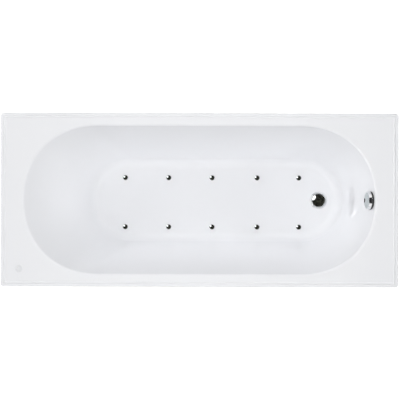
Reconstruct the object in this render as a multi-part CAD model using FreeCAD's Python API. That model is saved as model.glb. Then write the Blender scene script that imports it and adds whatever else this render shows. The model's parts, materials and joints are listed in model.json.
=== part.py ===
"""Jetted bathtub: a formed acrylic shell on a steel frame, with floor air jets, a waste and an overflow.

Millimetres. +Z is up, +X runs along the tub towards the drain, and the origin is on the floor under the
tub's middle.
"Head" is the backrest end, "foot" the drain end, "front" the -Y side and "rear" the +Y side.
"""
import FreeCAD
import Part
import math
import os

Vector = FreeCAD.Vector
UP = Vector(0, 0, 1)
SIDEWAYS = Vector(0, 1, 0)

# Shell
TUB_LENGTH = 1600.0
TUB_WIDTH = 700.0
FLOOR_HEIGHT = 170.0
BASIN_DEPTH = 400.0
SHELL_WALL = 5.0
SIDE_RIM = 50.0
END_RIM = 92.0
OPENING_END_DEPTH = 304.0
OPENING_SQUARENESS = 2.16
FLOOR_SQUARENESS = 2.04
SIDE_RUN = 144.0
BACKREST_RUN = 286.0
FOOT_WALL_RUN = 140.0
COVE_RADIUS = 50.0
ROLL_RADIUS = 12.0
CORNER_RADIUS = 12.0
SKIRT_HEIGHT = 35.0
EDGE_RADIUS = 4.0
BEAD_INSET = 11.0
BEAD_WIDTH = 10.0
BEAD_RISE = 2.5
BEAD_ROUNDING = 0.95
CURVE_STEPS = 16
COVE_ARC = 72.0
COVE_STEPS = 10
WALL_STEPS = 9
ROLL_ARC = 72.0
ROLL_STEPS = 7
STEP_EASE = 1.6
SMALLEST_RADIUS = 1.0
OVERCUT = 5.0
NEAR = 0.1
BEND_SHARE = 0.45

# Clearances
RUNNING_CLEARANCE = 0.05
FIT_CLEARANCE = 0.2
HOLE_CLEARANCE = 0.3

# Frame
TUBE_SIDE = 25.0
TUBE_WALL = 2.0
BOARD_THICKNESS = 16.0
BOARD_ROW_GAP = 22.0
BOARD_HEAD_INSET = 32.0
BOARD_FOOT_INSET = 138.0
BOARD_CORNER = 15.0
RAIL_END_GAP = 35.0
END_TUBE_INSET = 120.0
END_TUBE_GAP = 37.5
MIDDLE_TUBE_LENGTH = 300.0
POST_INSET = 50.0
PAD_THICKNESS = 10.0
PAD_SIDE = 40.0
CAP_THICKNESS = 3.0
PLUG_IN_TUBE = 10.0
BOLT_RADIUS = 4.0
BOLT_HEAD_WIDTH = 13.0
BOLT_HEAD_HEIGHT = 5.0
BOLT_END_GAP = 3.0
SCREW_RADIUS = 2.5
SCREW_HEAD_RADIUS = 5.0
SCREW_HEAD_HEIGHT = 3.0
SCREW_BITE = 12.0
SCREW_PITCH = 150.0
SCREW_STATIONS = (-2, -1, 1, 2)

# Levelling feet
FOOT_POST_GAP = 40.0
STUD_RADIUS = 6.0
STUD_RISE = 14.0
FOOT_PAD_RADIUS = 24.0
FOOT_PAD_HEIGHT = 14.0
FOOT_SOCKET_DEPTH = 8.0
FOOT_NECK_WALL = 4.0
FOOT_EDGE = 4.0
LOCK_NUT_WIDTH = 19.0
LOCK_NUT_HEIGHT = 8.0

# Air jets
JETS_IN_ROW = 5
JET_PITCH = 175.5
JET_END_GAP = 121.5
JET_LATE_SHIFT = 6.5
JET_ROW_INSET = 56.5
JET_ROW_SHIFT = -9.5
JET_STEM_RADIUS = 8.0
JET_BORE_RADIUS = 5.0
JET_FLANGE_RADIUS = 11.5
JET_FLANGE_THICKNESS = 1.4
JET_GASKET_THICKNESS = 0.8
JET_CAP_RADIUS = 10.0
JET_CAP_SKIRT = 2.6
JET_CAP_CROWN = 1.8
JET_CAP_EDGE = 0.6
JET_CAP_WALL = 1.2
JET_SNAP_DEPTH = 6.0
JET_AIR_HOLES = 6
JET_AIR_HOLE_RADIUS = 0.8
JET_AIR_HOLE_LIFT = 0.3
JET_NUT_WIDTH = 24.0
JET_NUT_HEIGHT = 8.0
JET_TEE_DROP = 22.0
JET_TEE_RADIUS = 7.5
JET_TEE_HALF = 14.0
JET_TAIL_LENGTH = 12.0
JET_PASSAGE_RADIUS = 3.2
JET_HOSE_RADIUS = 7.0
JET_HOSE_BORE = 5.0

# Air supply
MANIFOLD_INSET = 260.0
MANIFOLD_DEPTH = 40.0
MANIFOLD_HEIGHT = 34.0
MANIFOLD_OVERHANG = 21.0
MANIFOLD_WALL = 3.0
MANIFOLD_EDGE = 6.0
MANIFOLD_OUTLET_RISE = 13.0
AIR_HOSE_RADIUS = 16.0
AIR_HOSE_BORE = 14.0
AIR_NOZZLE_LENGTH = 22.0
AIR_NOZZLE_BORE = 12.0
FEED_Y = -30.0
FEED_BEND_DROP = 70.0
FEED_BEND_RISE = 79.0
FEED_BEND_SHARE = 0.25
RISER_Y = -170.0
VALVE_INSET = 60.0
VALVE_DROP = 200.0
VALVE_LENGTH = 60.0
VALVE_RADIUS = 22.0
VALVE_EDGE = 4.0
LOOP_DROP = 55.0
CLAMP_THICKNESS = 1.2
CLAMP_WIDTH = 9.0
CLAMP_INSET = 6.0
CLAMP_LUG = 5.0
CLAMP_GAP = 0.1

# Blower
BLOWER_INSET = 145.0
BLOWER_Y = 90.0
BLOWER_RADIUS = 82.0
BLOWER_WALL = 3.0
BLOWER_HOUSING_HEIGHT = 51.0
BLOWER_COVER_HEIGHT = 56.0
BLOWER_EDGE = 8.0
MOTOR_PLATE = 3.0
MOTOR_RADIUS = 38.0
MOTOR_HEIGHT = 44.0
SHAFT_RADIUS = 4.0
SHAFT_IN_MOTOR = 30.0
IMPELLER_RADIUS = 68.0
IMPELLER_DISC = 3.0
IMPELLER_HUB = 12.0
BLADE_COUNT = 8
BLADE_HEIGHT = 20.0
BLADE_THICKNESS = 2.0
IMPELLER_LIFT = 10.0
VENT_COUNT = 12
VENT_WIDTH = 6.0
VENT_HEIGHT = 22.0
AIR_HOLE_COUNT = 6
AIR_HOLE_RADIUS = 8.0
AIR_HOLE_CIRCLE = 56.0
OUTLET_OFFSET = 58.0
OUTLET_START = 30.0
OUTLET_REACH = 95.0
OUTLET_RADIUS = 18.0
OUTLET_RISE = 27.0
TRAY_THICKNESS = 3.0
TRAY_MARGIN = 12.0
TRAY_BOLT_GAP = 3.0
GLAND_RADIUS = 9.0
GLAND_LENGTH = 16.0

# Air button
BUTTON_INSET = 73.0
BUTTON_SIDE_INSET = 72.0
BUTTON_CAP_RADIUS = 9.5
BUTTON_BARREL_RADIUS = 12.0
BUTTON_BEZEL_RADIUS = 14.5
BUTTON_BEZEL_RISE = 2.0
BUTTON_CAP_RISE = 1.5
BUTTON_CAP_DEPTH = 12.0
BUTTON_DEPTH = 40.0
BUTTON_WALL = 2.0
BUTTON_NUT_WIDTH = 30.0
BUTTON_NUT_HEIGHT = 6.0
SPRING_RADIUS = 6.0
SPRING_WIRE = 1.0
CONTROL_TUBE_RADIUS = 2.75
CONTROL_TUBE_BORE = 1.9
CONTROL_TAIL = 10.0
CONTROL_FIRST_DROP = 130.0
CONTROL_MIDDLE_REACH = 43.0
CONTROL_MIDDLE_RISE = 96.0
CONTROL_THIRD_REACH = 128.0
CONTROL_THIRD_RISE = 28.0
CONTROL_LAST_REACH = 160.0

# Waste
DRAIN_INSET = 86.0
FLANGE_RADIUS = 35.0
FLANGE_RISE = 3.0
CUP_RADIUS = 26.4
CUP_DEPTH = 3.0
CUP_WALL = 2.0
TAIL_RADIUS = 24.0
TAIL_WALL = 2.0
TAIL_DEPTH = 25.0
SPIDER_THICKNESS = 4.0
SPIDER_ARM = 3.0
SPIDER_HUB = 8.0
PLUG_RADIUS = 26.0
PLUG_EDGE = 1.6
PLUG_CROWN = 2.2
PLUG_STEM_RADIUS = 4.0
PLUG_STEM_LENGTH = 46.0
SEAL_INSET = 0.5
SEAL_LAP = 1.0
SEAL_THICKNESS = 1.5
DRAIN_GASKET = 2.0
WASTE_RIM_RADIUS = 36.0
WASTE_RIM_THICKNESS = 4.0
WASTE_RADIUS = 28.0
WASTE_WALL = 3.0
WASTE_DROP = 70.0
DIP_RADIUS = 16.0
DIP_WALL = 2.5
DIP_LENGTH = 55.0
BOWL_RADIUS = 36.0
BOWL_WALL = 3.0
NECK_LENGTH = 12.0
BOWL_DEPTH = 67.0
NECK_WALL = 4.0
TRAP_CAP_HEIGHT = 12.0
TRAP_CAP_WALL = 3.0
TRAP_CAP_RIBS = 16
RIB_SIDE = 3.0
NUT_WALL = 6.0
NUT_LENGTH = 12.0
NUT_LIP = 2.0
OUTLET_PIPE_DROP = 108.0
OUTLET_PIPE_RADIUS = 20.0
OUTLET_PIPE_WALL = 1.8
OUTLET_PIPE_INSET = 60.0
OUTLET_SPIGOT = 60.0
OUTLET_COLLAR_RADIUS = 22.0
OUTLET_COLLAR_WIDTH = 4.0
SOCKET_REACH = 62.0
SOCKET_WALL = 3.0
PIPE_START = 40.0

# Overflow
OVERFLOW_DROP = 45.0
OVERFLOW_HOLE = 24.5
SPIGOT_CLEARANCE = 0.5
KNOB_RADIUS = 36.5
KNOB_FRONT = 20.0
KNOB_BACK = 2.8
KNOB_WALL = 3.0
KNOB_SKIRT = 5.2
KNOB_TAPER = 2.5
KNOB_EDGE = 2.0
GRIP_RADIUS = 16.0
GRIP_BITE = 5.0
GRIP_LENGTH = 11.0
SPINDLE_RADIUS = 4.0
SPINDLE_END = -24.0
OVERFLOW_FLANGE_RADIUS = 32.5
OVERFLOW_SEAT = 2.5
OVERFLOW_FLANGE_FRONT = 5.0
OVERFLOW_HUB = 8.0
OVERFLOW_SLOT_CIRCLE = 15.0
OVERFLOW_SLOT_RADIUS = 4.5
OVERFLOW_SLOTS = 6
OVERFLOW_SPIGOT_WALL = 2.5
OVERFLOW_SPIGOT_END = -12.0
REAR_GASKET = 2.0
OVERFLOW_BODY_RADIUS = 33.0
OVERFLOW_BODY_WALL = 3.0
OVERFLOW_BODY_DEPTH = 34.0
OVERFLOW_OUTLET_START = 50.0
OVERFLOW_HOSE_BORE = 12.5
RIB_CREST_RADIUS = 16.0
RIB_TROUGH_RADIUS = 14.0
RIB_PITCH = 6.0
RIB_FLANK = 0.3
RIB_FLAT = 0.2
HOSE_CUFF = 32.0
HOSE_INLET_DROP = 52.0
HOSE_INLET_REACH = 34.0
HOSE_CORNER_REACH = 118.0
HOSE_FIRST_RUN = 90.0
NOZZLE_LENGTH = 18.0
NOZZLE_WALL = 2.0
CABLE_RADIUS = 3.0
CABLE_Y = 22.0
CABLE_ENTRY_DROP = 34.0
CABLE_BOSS_RADIUS = 5.0
CABLE_BOSS_REACH = 40.0

# Places worked out from the sizes above
DECK_HEIGHT = FLOOR_HEIGHT + BASIN_DEPTH
FLOOR_Z = FLOOR_HEIGHT
FLOOR_UNDER = FLOOR_Z - SHELL_WALL
DECK_UNDER = DECK_HEIGHT - SHELL_WALL
OPENING_HALF = TUB_WIDTH / 2 - SIDE_RIM
OPENING_END = TUB_LENGTH / 2 - END_RIM
FLOOR_HALF = OPENING_HALF - SIDE_RUN
FLOOR_HEAD = -(OPENING_END - BACKREST_RUN)
FLOOR_FOOT = OPENING_END - FOOT_WALL_RUN
BOARD_UNDER = FLOOR_UNDER - BOARD_THICKNESS
RAIL_UNDER = BOARD_UNDER - TUBE_SIDE
CROSS_UNDER = RAIL_UNDER - TUBE_SIDE
REAR_ROW_Y = FLOOR_HALF - JET_ROW_INSET + JET_ROW_SHIFT
FRONT_ROW_Y = -(FLOOR_HALF - JET_ROW_INSET) + JET_ROW_SHIFT
JET_TEE_Z = FLOOR_Z - JET_TEE_DROP
BOARD_HALF = REAR_ROW_Y - BOARD_ROW_GAP
BOARD_HEAD_X = FLOOR_HEAD + BOARD_HEAD_INSET
BOARD_FOOT_X = FLOOR_FOOT - BOARD_FOOT_INSET
RAIL_Y = BOARD_HALF - TUBE_SIDE / 2
RAIL_END = TUB_LENGTH / 2 - RAIL_END_GAP
END_TUBE_X = TUB_LENGTH / 2 - END_TUBE_INSET
END_TUBE_LENGTH = TUB_WIDTH - 2 * END_TUBE_GAP
POST_Y = TUB_WIDTH / 2 - POST_INSET
FOOT_Y = POST_Y - FOOT_POST_GAP
BLOWER_X = -TUB_LENGTH / 2 + BLOWER_INSET
MANIFOLD_X = -TUB_LENGTH / 2 + MANIFOLD_INSET
VALVE_X = -TUB_LENGTH / 2 + VALVE_INSET
VALVE_BOTTOM = DECK_HEIGHT - VALVE_DROP
LOOP_TOP = DECK_HEIGHT - LOOP_DROP
BUTTON_X = -TUB_LENGTH / 2 + BUTTON_INSET
BUTTON_Y = -TUB_WIDTH / 2 + BUTTON_SIDE_INSET
DRAIN_X = FLOOR_FOOT - DRAIN_INSET
WASTE_BOTTOM = FLOOR_Z - WASTE_DROP
DIP_BOTTOM = WASTE_BOTTOM - DIP_LENGTH
BOWL_TOP = WASTE_BOTTOM - NECK_LENGTH
BOWL_BOTTOM = BOWL_TOP - BOWL_DEPTH
OUTLET_PIPE_HEIGHT = FLOOR_Z - OUTLET_PIPE_DROP
OUTLET_PIPE_END = TUB_LENGTH / 2 - OUTLET_PIPE_INSET
HOSE_INLET_HEIGHT = FLOOR_Z - HOSE_INLET_DROP
CABLE_ENTRY_HEIGHT = FLOOR_Z - CABLE_ENTRY_DROP
TRAY_TOP = BOARD_UNDER + TRAY_THICKNESS
HOUSING_TOP = TRAY_TOP + BLOWER_HOUSING_HEIGHT
COVER_BASE = HOUSING_TOP + MOTOR_PLATE
BLOWER_OUTLET_X = BLOWER_X - OUTLET_OFFSET
BLOWER_OUTLET_Y = BLOWER_Y - OUTLET_REACH
BLOWER_OUTLET_Z = TRAY_TOP + OUTLET_RISE
MANIFOLD_TOP = BOARD_UNDER + MANIFOLD_HEIGHT
MANIFOLD_FACE = MANIFOLD_X + MANIFOLD_DEPTH / 2
MANIFOLD_OUTLET_Z = BOARD_UNDER + MANIFOLD_OUTLET_RISE
RIB_STATIONS = (
    (0, RIB_TROUGH_RADIUS),
    (RIB_FLAT, RIB_TROUGH_RADIUS),
    (RIB_FLAT + RIB_FLANK, RIB_CREST_RADIUS),
    (2 * RIB_FLAT + RIB_FLANK, RIB_CREST_RADIUS),
)
FOOT_PLACES = {
    "head_front": (-END_TUBE_X, -FOOT_Y),
    "head_rear": (-END_TUBE_X, FOOT_Y),
    "foot_front": (END_TUBE_X, -FOOT_Y),
    "foot_rear": (END_TUBE_X, FOOT_Y),
    "middle": (0.0, 0.0),
}


# Basic solids

def block(x0, x1, y0, y1, z0, z1):
    """A box between two corners."""
    return Part.makeBox(x1 - x0, y1 - y0, z1 - z0, Vector(x0, y0, z0))


def rod(radius, start, end):
    """A round bar between two points."""
    run = end - start
    return Part.makeCylinder(radius, run.Length, start, run)


def pipe(radius, bore, start, end):
    """A round tube between two points."""
    return rod(radius, start, end).cut(rod(bore, start, end))


def upright(radius, x, y, z0, z1):
    """A round bar that stands on end."""
    return rod(radius, Vector(x, y, z0), Vector(x, y, z1))


def ring(radius, bore, x, y, z0, z1):
    """A round tube that stands on end."""
    return upright(radius, x, y, z0, z1).cut(upright(bore, x, y, z0, z1))


def turned(profile):
    """A profile of (radius, height) corners turned about the Z axis."""
    corners = [Vector(radius, 0, height) for radius, height in profile]
    face = Part.Face(Part.makePolygon(corners + corners[:1]))
    return face.revolve(Vector(0, 0, 0), UP, 360)


def hexagon(width, bore, x, y, z0, z1):
    """A hexagon nut, its width measured across the flats."""
    reach = width / math.sqrt(3)
    angles = [math.radians(60 * step) for step in range(7)]
    corners = [Vector(x + reach * math.cos(a), y + reach * math.sin(a), z0) for a in angles]
    nut = Part.Face(Part.makePolygon(corners)).extrude(Vector(0, 0, z1 - z0))
    return nut.cut(upright(bore, x, y, z0, z1))


def rounded_plate(length, width, radius, z0, z1):
    """A plate about the Z axis with rounded corners."""
    plate = block(-length / 2, length / 2, -width / 2, width / 2, z0, z1)
    corners = [edge for edge in plate.Edges if abs(edge.tangentAt(edge.FirstParameter).z) > 0.5]
    return plate.makeFillet(radius, corners)


def rounded_frame(inset, width, radius, z0, z1):
    """A band that follows the tub's edge at an inset."""
    outer = rounded_plate(TUB_LENGTH - 2 * inset, TUB_WIDTH - 2 * inset, radius, z0, z1)
    hole = inset + width
    inner_radius = max(radius - width, SMALLEST_RADIUS)
    return outer.cut(rounded_plate(TUB_LENGTH - 2 * hole, TUB_WIDTH - 2 * hole, inner_radius, z0, z1))


def square_tube(x0, x1, y0, y1, z0, z1):
    """A square steel tube, hollow along its longest side."""
    spans = [x1 - x0, y1 - y0, z1 - z0]
    along = spans.index(max(spans))
    inner = [TUBE_WALL if axis != along else 0.0 for axis in range(3)]
    hollow = block(x0 + inner[0], x1 - inner[0], y0 + inner[1], y1 - inner[1], z0 + inner[2], z1 - inner[2])
    return block(x0, x1, y0, y1, z0, z1).cut(hollow)


def bend_radius(before, corner, after):
    """The largest tidy bend at a corner, whose ends take up a share of the shorter run."""
    run_in = corner - before
    run_out = after - corner
    turn = run_in.getAngle(run_out)
    return BEND_SHARE * min(run_in.Length, run_out.Length) / math.tan(turn / 2)


def route(name, points):
    """A wire of straight runs joined by tangent arcs, whose bend radii are printed."""
    edges = []
    radii = []
    start = points[0]
    for before, corner, after in zip(points, points[1:], points[2:]):
        bend = bend_radius(before, corner, after)
        run_in = (corner - before).normalize()
        run_out = (after - corner).normalize()
        turn = run_in.getAngle(run_out)
        reach = bend * math.tan(turn / 2)
        enter = corner - run_in * reach
        leave = corner + run_out * reach
        inward = (run_out - run_in).normalize()
        centre = corner + inward * (bend / math.cos(turn / 2))
        edges.append(Part.LineSegment(start, enter).toShape())
        edges.append(Part.Arc(enter, centre - inward * bend, leave).toShape())
        radii.append(round(bend, 1))
        start = leave
    edges.append(Part.LineSegment(start, points[-1]).toShape())
    print(name, "bend radii", radii)
    return Part.Wire(edges)


def swept(wire, radius):
    """A round bar that follows a wire."""
    first = wire.Edges[0]
    start = first.valueAt(first.FirstParameter)
    section = Part.Wire(Part.Circle(start, first.tangentAt(first.FirstParameter), radius).toShape())
    return wire.makePipeShell([section], True, False)


def hose(name, points, radius, bore):
    """A round tube along a route."""
    wire = route(name, points)
    tube = swept(wire, radius).cut(swept(wire, bore))
    expected = wire.Length * math.pi * (radius ** 2 - bore ** 2)
    print(name, "length", round(wire.Length, 1), "volume ratio", round(tube.Volume / expected, 4))
    return tube


def joined(solids):
    """One shape fused from several."""
    whole = solids[0].multiFuse(solids[1:]) if len(solids) > 1 else solids[0]
    return whole.removeSplitter()


# The basin's form

def end_curve(centre_x, half_width, depth, squareness, side):
    """Half of a squared ellipse, from one long side round the tub's end to the other."""
    points = []
    for step in range(CURVE_STEPS + 1):
        angle = math.pi * (step / CURVE_STEPS - 0.5)
        across = abs(math.sin(angle)) / half_width
        along = abs(math.cos(angle)) / depth
        reach = (across ** squareness + along ** squareness) ** (-1 / squareness)
        points.append(Vector(centre_x + side * reach * math.cos(angle), side * reach * math.sin(angle), 0))
    curve = Part.BSplineCurve()
    steps = [step / CURVE_STEPS for step in range(CURVE_STEPS + 1)]
    leaving = Vector(side * math.pi * depth / 2, 0, 0)
    curve.interpolate(Points=points, Parameters=steps, InitialTangent=leaving, FinalTangent=-leaving)
    return curve.toShape()


def wall_reach(run, height, wall):
    """How far a slope of the basin stands out from the floor's corner, with its cove and its rolled lip."""
    tangent = run / BASIN_DEPTH
    secant = math.hypot(1, tangent)
    cove = COVE_RADIUS + wall
    roll = ROLL_RADIUS - wall
    cove_z = FLOOR_Z + COVE_RADIUS
    roll_z = DECK_HEIGHT - ROLL_RADIUS
    if height < cove_z - cove * tangent / secant:
        return COVE_RADIUS * (tangent - secant) + math.sqrt(max(cove ** 2 - (cove_z - height) ** 2, 0))
    if height > roll_z + roll * tangent / secant:
        centre = (roll_z - FLOOR_Z) * tangent + ROLL_RADIUS * secant
        return centre - math.sqrt(max(roll ** 2 - (height - roll_z) ** 2, 0))
    return (height - FLOOR_Z) * tangent + wall * secant


def outline(height, wall):
    """The basin's level outline at a height, on the shell's upper skin or a wall's thickness outside it."""
    share = (height - FLOOR_Z) / BASIN_DEPTH
    depth = FLOOR_HALF + share * (OPENING_END_DEPTH - FLOOR_HALF)
    squareness = FLOOR_SQUARENESS + share * (OPENING_SQUARENESS - FLOOR_SQUARENESS)
    half = FLOOR_HALF + wall_reach(SIDE_RUN, height, wall)
    head_centre = FLOOR_HEAD - share * BACKREST_RUN + depth
    foot_centre = FLOOR_FOOT + share * FOOT_WALL_RUN - depth
    head_end = FLOOR_HEAD - wall_reach(BACKREST_RUN, height, wall)
    foot_end = FLOOR_FOOT + wall_reach(FOOT_WALL_RUN, height, wall)
    edges = [
        Part.LineSegment(Vector(head_centre, -half, 0), Vector(foot_centre, -half, 0)).toShape(),
        end_curve(foot_centre, half, foot_end - foot_centre, squareness, 1),
        Part.LineSegment(Vector(foot_centre, half, 0), Vector(head_centre, half, 0)).toShape(),
        end_curve(head_centre, half, head_centre - head_end, squareness, -1),
    ]
    wire = Part.Wire(edges)
    wire.translate(Vector(0, 0, height))
    return wire


def eased_angles(arc, steps):
    """Angles from zero up to an arc, in steps that start small."""
    return [math.radians(arc * (step / steps) ** STEP_EASE) for step in range(steps + 1)]


def basin_levels(wall):
    """The heights at which the basin's form is drawn: close together in the cove and the roll."""
    cove_z = FLOOR_Z + COVE_RADIUS
    roll_z = DECK_HEIGHT - ROLL_RADIUS
    levels = [cove_z - (COVE_RADIUS + wall) * math.cos(angle) for angle in eased_angles(COVE_ARC, COVE_STEPS)]
    lip = [roll_z + (ROLL_RADIUS - wall) * math.cos(angle) for angle in eased_angles(ROLL_ARC, ROLL_STEPS)]
    lip.reverse()
    low = levels[-1]
    high = lip[0]
    shares = [(1 - math.cos(math.pi * step / WALL_STEPS)) / 2 for step in range(1, WALL_STEPS)]
    levels += [low + (high - low) * share for share in shares]
    return levels + lip


def basin_form(wall):
    """The basin as a closed form, from the floor to the deck."""
    return Part.makeLoft([outline(height, wall) for height in basin_levels(wall)], True, False)


def foot_wall_x(height):
    """Where the end wall by the drain stands at a height, in the tub's middle plane."""
    return FLOOR_FOOT + (height - FLOOR_Z) * FOOT_WALL_RUN / BASIN_DEPTH


def overflow_placement():
    """The overflow's own axes: Z out of the end wall into the basin, X up the wall's slope."""
    height = DECK_HEIGHT - OVERFLOW_DROP
    slope = Vector(-BASIN_DEPTH, 0, FOOT_WALL_RUN)
    return FreeCAD.Placement(Vector(foot_wall_x(height), 0, height), FreeCAD.Rotation(UP, slope))


OVERFLOW = overflow_placement()


def on_end_wall(shape):
    """A shape drawn about the Z axis, moved to the overflow's place."""
    moved = shape.copy()
    moved.Placement = OVERFLOW.multiply(moved.Placement)
    return moved


# Shell

def jet_stations():
    """Where the jets of a row stand along the floor. The last but one stands a little late."""
    stations = [FLOOR_HEAD + JET_END_GAP + step * JET_PITCH for step in range(JETS_IN_ROW)]
    stations[-2] += JET_LATE_SHIFT
    return stations


def jet_places():
    """Every jet's place in plan."""
    return [(x, y) for y in (FRONT_ROW_Y, REAR_ROW_Y) for x in jet_stations()]


def shell_holes():
    """The holes drilled through the shell for its fittings."""
    low = FLOOR_UNDER - OVERCUT
    high = FLOOR_Z + OVERCUT
    holes = [upright(JET_STEM_RADIUS + HOLE_CLEARANCE, x, y, low, high) for x, y in jet_places()]
    holes.append(upright(CUP_RADIUS + CUP_WALL + HOLE_CLEARANCE, DRAIN_X, 0, low, high))
    holes.append(on_end_wall(upright(OVERFLOW_HOLE, 0, 0, -SHELL_WALL - OVERCUT, OVERCUT)))
    barrel = BUTTON_BARREL_RADIUS + HOLE_CLEARANCE
    holes.append(upright(barrel, BUTTON_X, BUTTON_Y, DECK_UNDER - OVERCUT, DECK_HEIGHT + OVERCUT))
    return holes


def bead():
    """The raised border along the deck's edge."""
    low = DECK_HEIGHT - SHELL_WALL / 2
    high = DECK_HEIGHT + BEAD_RISE
    band = rounded_frame(BEAD_INSET, BEAD_WIDTH, CORNER_RADIUS, low, high)
    top_edges = [edge for edge in band.Edges if edge.BoundBox.ZMin > high - NEAR]
    return band.makeFillet(BEAD_RISE * BEAD_ROUNDING, top_edges)


def bath_shell():
    """Deck, folded edge and basin in one sheet."""
    deck = rounded_plate(TUB_LENGTH, TUB_WIDTH, CORNER_RADIUS, DECK_UNDER, DECK_HEIGHT)
    top_edges = [edge for edge in deck.Edges if edge.BoundBox.ZMin > DECK_HEIGHT - NEAR]
    deck = deck.makeFillet(EDGE_RADIUS, top_edges)
    skirt = rounded_frame(0, SHELL_WALL, CORNER_RADIUS, DECK_HEIGHT - SKIRT_HEIGHT, DECK_UNDER)
    body = joined([deck, skirt, basin_form(SHELL_WALL)])
    body = body.cut(basin_form(0))
    return joined([body, bead()]).cut(shell_holes())


# Frame

def bolt(x, y, head_z, end_z):
    """A hexagon-headed bolt, whose head ends and shank starts at the first height."""
    away = math.copysign(BOLT_HEAD_HEIGHT, head_z - end_z)
    head = hexagon(BOLT_HEAD_WIDTH, BOLT_RADIUS, x, y, min(head_z, head_z + away), max(head_z, head_z + away))
    shank = upright(BOLT_RADIUS, x, y, min(head_z + away, end_z), max(head_z + away, end_z))
    return joined([head, shank])


def tube_bolts():
    """Bolts from below through each cross tube into the rail over it."""
    places = [(x, y) for x in (-END_TUBE_X, 0.0, END_TUBE_X) for y in (-RAIL_Y, RAIL_Y)]
    return [bolt(x, y, CROSS_UNDER, BOARD_UNDER - BOLT_END_GAP) for x, y in places]


def tray_bolts():
    """Bolts that hold the blower's tray on both rails."""
    reach = BLOWER_RADIUS + TRAY_BOLT_GAP
    places = [(BLOWER_X + side * reach, y) for side in (-1, 1) for y in (-RAIL_Y, RAIL_Y)]
    return [bolt(x, y, TRAY_TOP, RAIL_UNDER + BOLT_END_GAP) for x, y in places]


def frame_bolts():
    """Every bolt of the frame."""
    return tube_bolts() + tray_bolts()


def board_screws():
    """Screws from below through the rails into the base board."""
    screws = []
    for station in SCREW_STATIONS:
        x = station * SCREW_PITCH
        for y in (-RAIL_Y, RAIL_Y):
            head = upright(SCREW_HEAD_RADIUS, x, y, RAIL_UNDER - SCREW_HEAD_HEIGHT, RAIL_UNDER)
            shank = upright(SCREW_RADIUS, x, y, RAIL_UNDER - SCREW_HEAD_HEIGHT, BOARD_UNDER + SCREW_BITE)
            screws.append(joined([head, shank]))
    return screws


def base_board():
    """The board under the flat floor, between the rows of jets."""
    length = BOARD_FOOT_X - BOARD_HEAD_X
    board = rounded_plate(length, 2 * BOARD_HALF, BOARD_CORNER, BOARD_UNDER, FLOOR_UNDER)
    board.translate(Vector((BOARD_FOOT_X + BOARD_HEAD_X) / 2, 0, 0))
    return board.cut(board_screws())


def rail(side):
    """A long tube under the board."""
    half = TUBE_SIDE / 2
    middle = side * RAIL_Y
    tube = square_tube(-RAIL_END, RAIL_END, middle - half, middle + half, RAIL_UNDER, BOARD_UNDER)
    return tube.cut(board_screws() + frame_bolts())


def cross_tube(x, length, feet):
    """A tube across the frame, bored for its levelling feet."""
    half = TUBE_SIDE / 2
    tube = square_tube(x - half, x + half, -length / 2, length / 2, CROSS_UNDER, RAIL_UNDER)
    bore = STUD_RADIUS + RUNNING_CLEARANCE
    holes = [upright(bore, x, y, CROSS_UNDER - OVERCUT, RAIL_UNDER + OVERCUT) for y in feet]
    return tube.cut(tube_bolts() + holes)


def corner_places():
    """The four corner posts' places in plan."""
    return [(x, y) for x in (-END_TUBE_X, END_TUBE_X) for y in (-POST_Y, POST_Y)]


def corner_posts():
    """Tubes that carry the deck's corners on the end cross tubes."""
    half = TUBE_SIDE / 2
    top = DECK_UNDER - PAD_THICKNESS
    return [square_tube(x - half, x + half, y - half, y + half, RAIL_UNDER, top) for x, y in corner_places()]


def rim_pads():
    """Rubber pads between the posts and the deck, each with a plug in its post."""
    pads = []
    half = PAD_SIDE / 2
    plug = TUBE_SIDE / 2 - TUBE_WALL - FIT_CLEARANCE
    for x, y in corner_places():
        low = DECK_UNDER - PAD_THICKNESS
        pad = block(x - half, x + half, y - half, y + half, low, DECK_UNDER)
        pads.append(joined([pad, block(x - plug, x + plug, y - plug, y + plug, low - PAD_THICKNESS, low)]))
    return pads


def end_cap(x, y, z, direction):
    """A plastic cap on a tube's open end, with its plug inside the tube."""
    half = TUBE_SIDE / 2
    plug = half - TUBE_WALL - FIT_CLEARANCE
    lid = block(0, CAP_THICKNESS, -half, half, -half, half)
    body = joined([lid, block(-PLUG_IN_TUBE, 0, -plug, plug, -plug, plug)])
    body.Placement = FreeCAD.Placement(Vector(x, y, z), FreeCAD.Rotation(Vector(1, 0, 0), direction))
    return body


def tube_end_caps():
    """Caps on the rails and the cross tubes."""
    caps = []
    rail_z = (RAIL_UNDER + BOARD_UNDER) / 2
    cross_z = (CROSS_UNDER + RAIL_UNDER) / 2
    for side in (-1, 1):
        for y in (-RAIL_Y, RAIL_Y):
            caps.append(end_cap(side * RAIL_END, y, rail_z, Vector(side, 0, 0)))
        tubes = ((-END_TUBE_X, END_TUBE_LENGTH), (0, MIDDLE_TUBE_LENGTH), (END_TUBE_X, END_TUBE_LENGTH))
        for x, length in tubes:
            caps.append(end_cap(x, side * length / 2, cross_z, Vector(0, side, 0)))
    return caps


# Levelling feet

def foot_stud(x, y):
    """A threaded stud from the pad up through its cross tube."""
    return upright(STUD_RADIUS, x, y, FOOT_PAD_HEIGHT - FOOT_SOCKET_DEPTH, RAIL_UNDER + STUD_RISE)


def foot_pad(x, y):
    """A plastic pad with a socket for the stud."""
    socket = STUD_RADIUS + FIT_CLEARANCE
    floor = FOOT_PAD_HEIGHT - FOOT_SOCKET_DEPTH
    neck = socket + FOOT_NECK_WALL
    profile = [
        (0, 0), (FOOT_PAD_RADIUS, 0), (FOOT_PAD_RADIUS, FOOT_EDGE), (neck, FOOT_PAD_HEIGHT - FOOT_EDGE),
        (neck, FOOT_PAD_HEIGHT), (socket, FOOT_PAD_HEIGHT), (socket, floor), (0, floor),
    ]
    return turned(profile).translated(Vector(x, y, 0))


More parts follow.
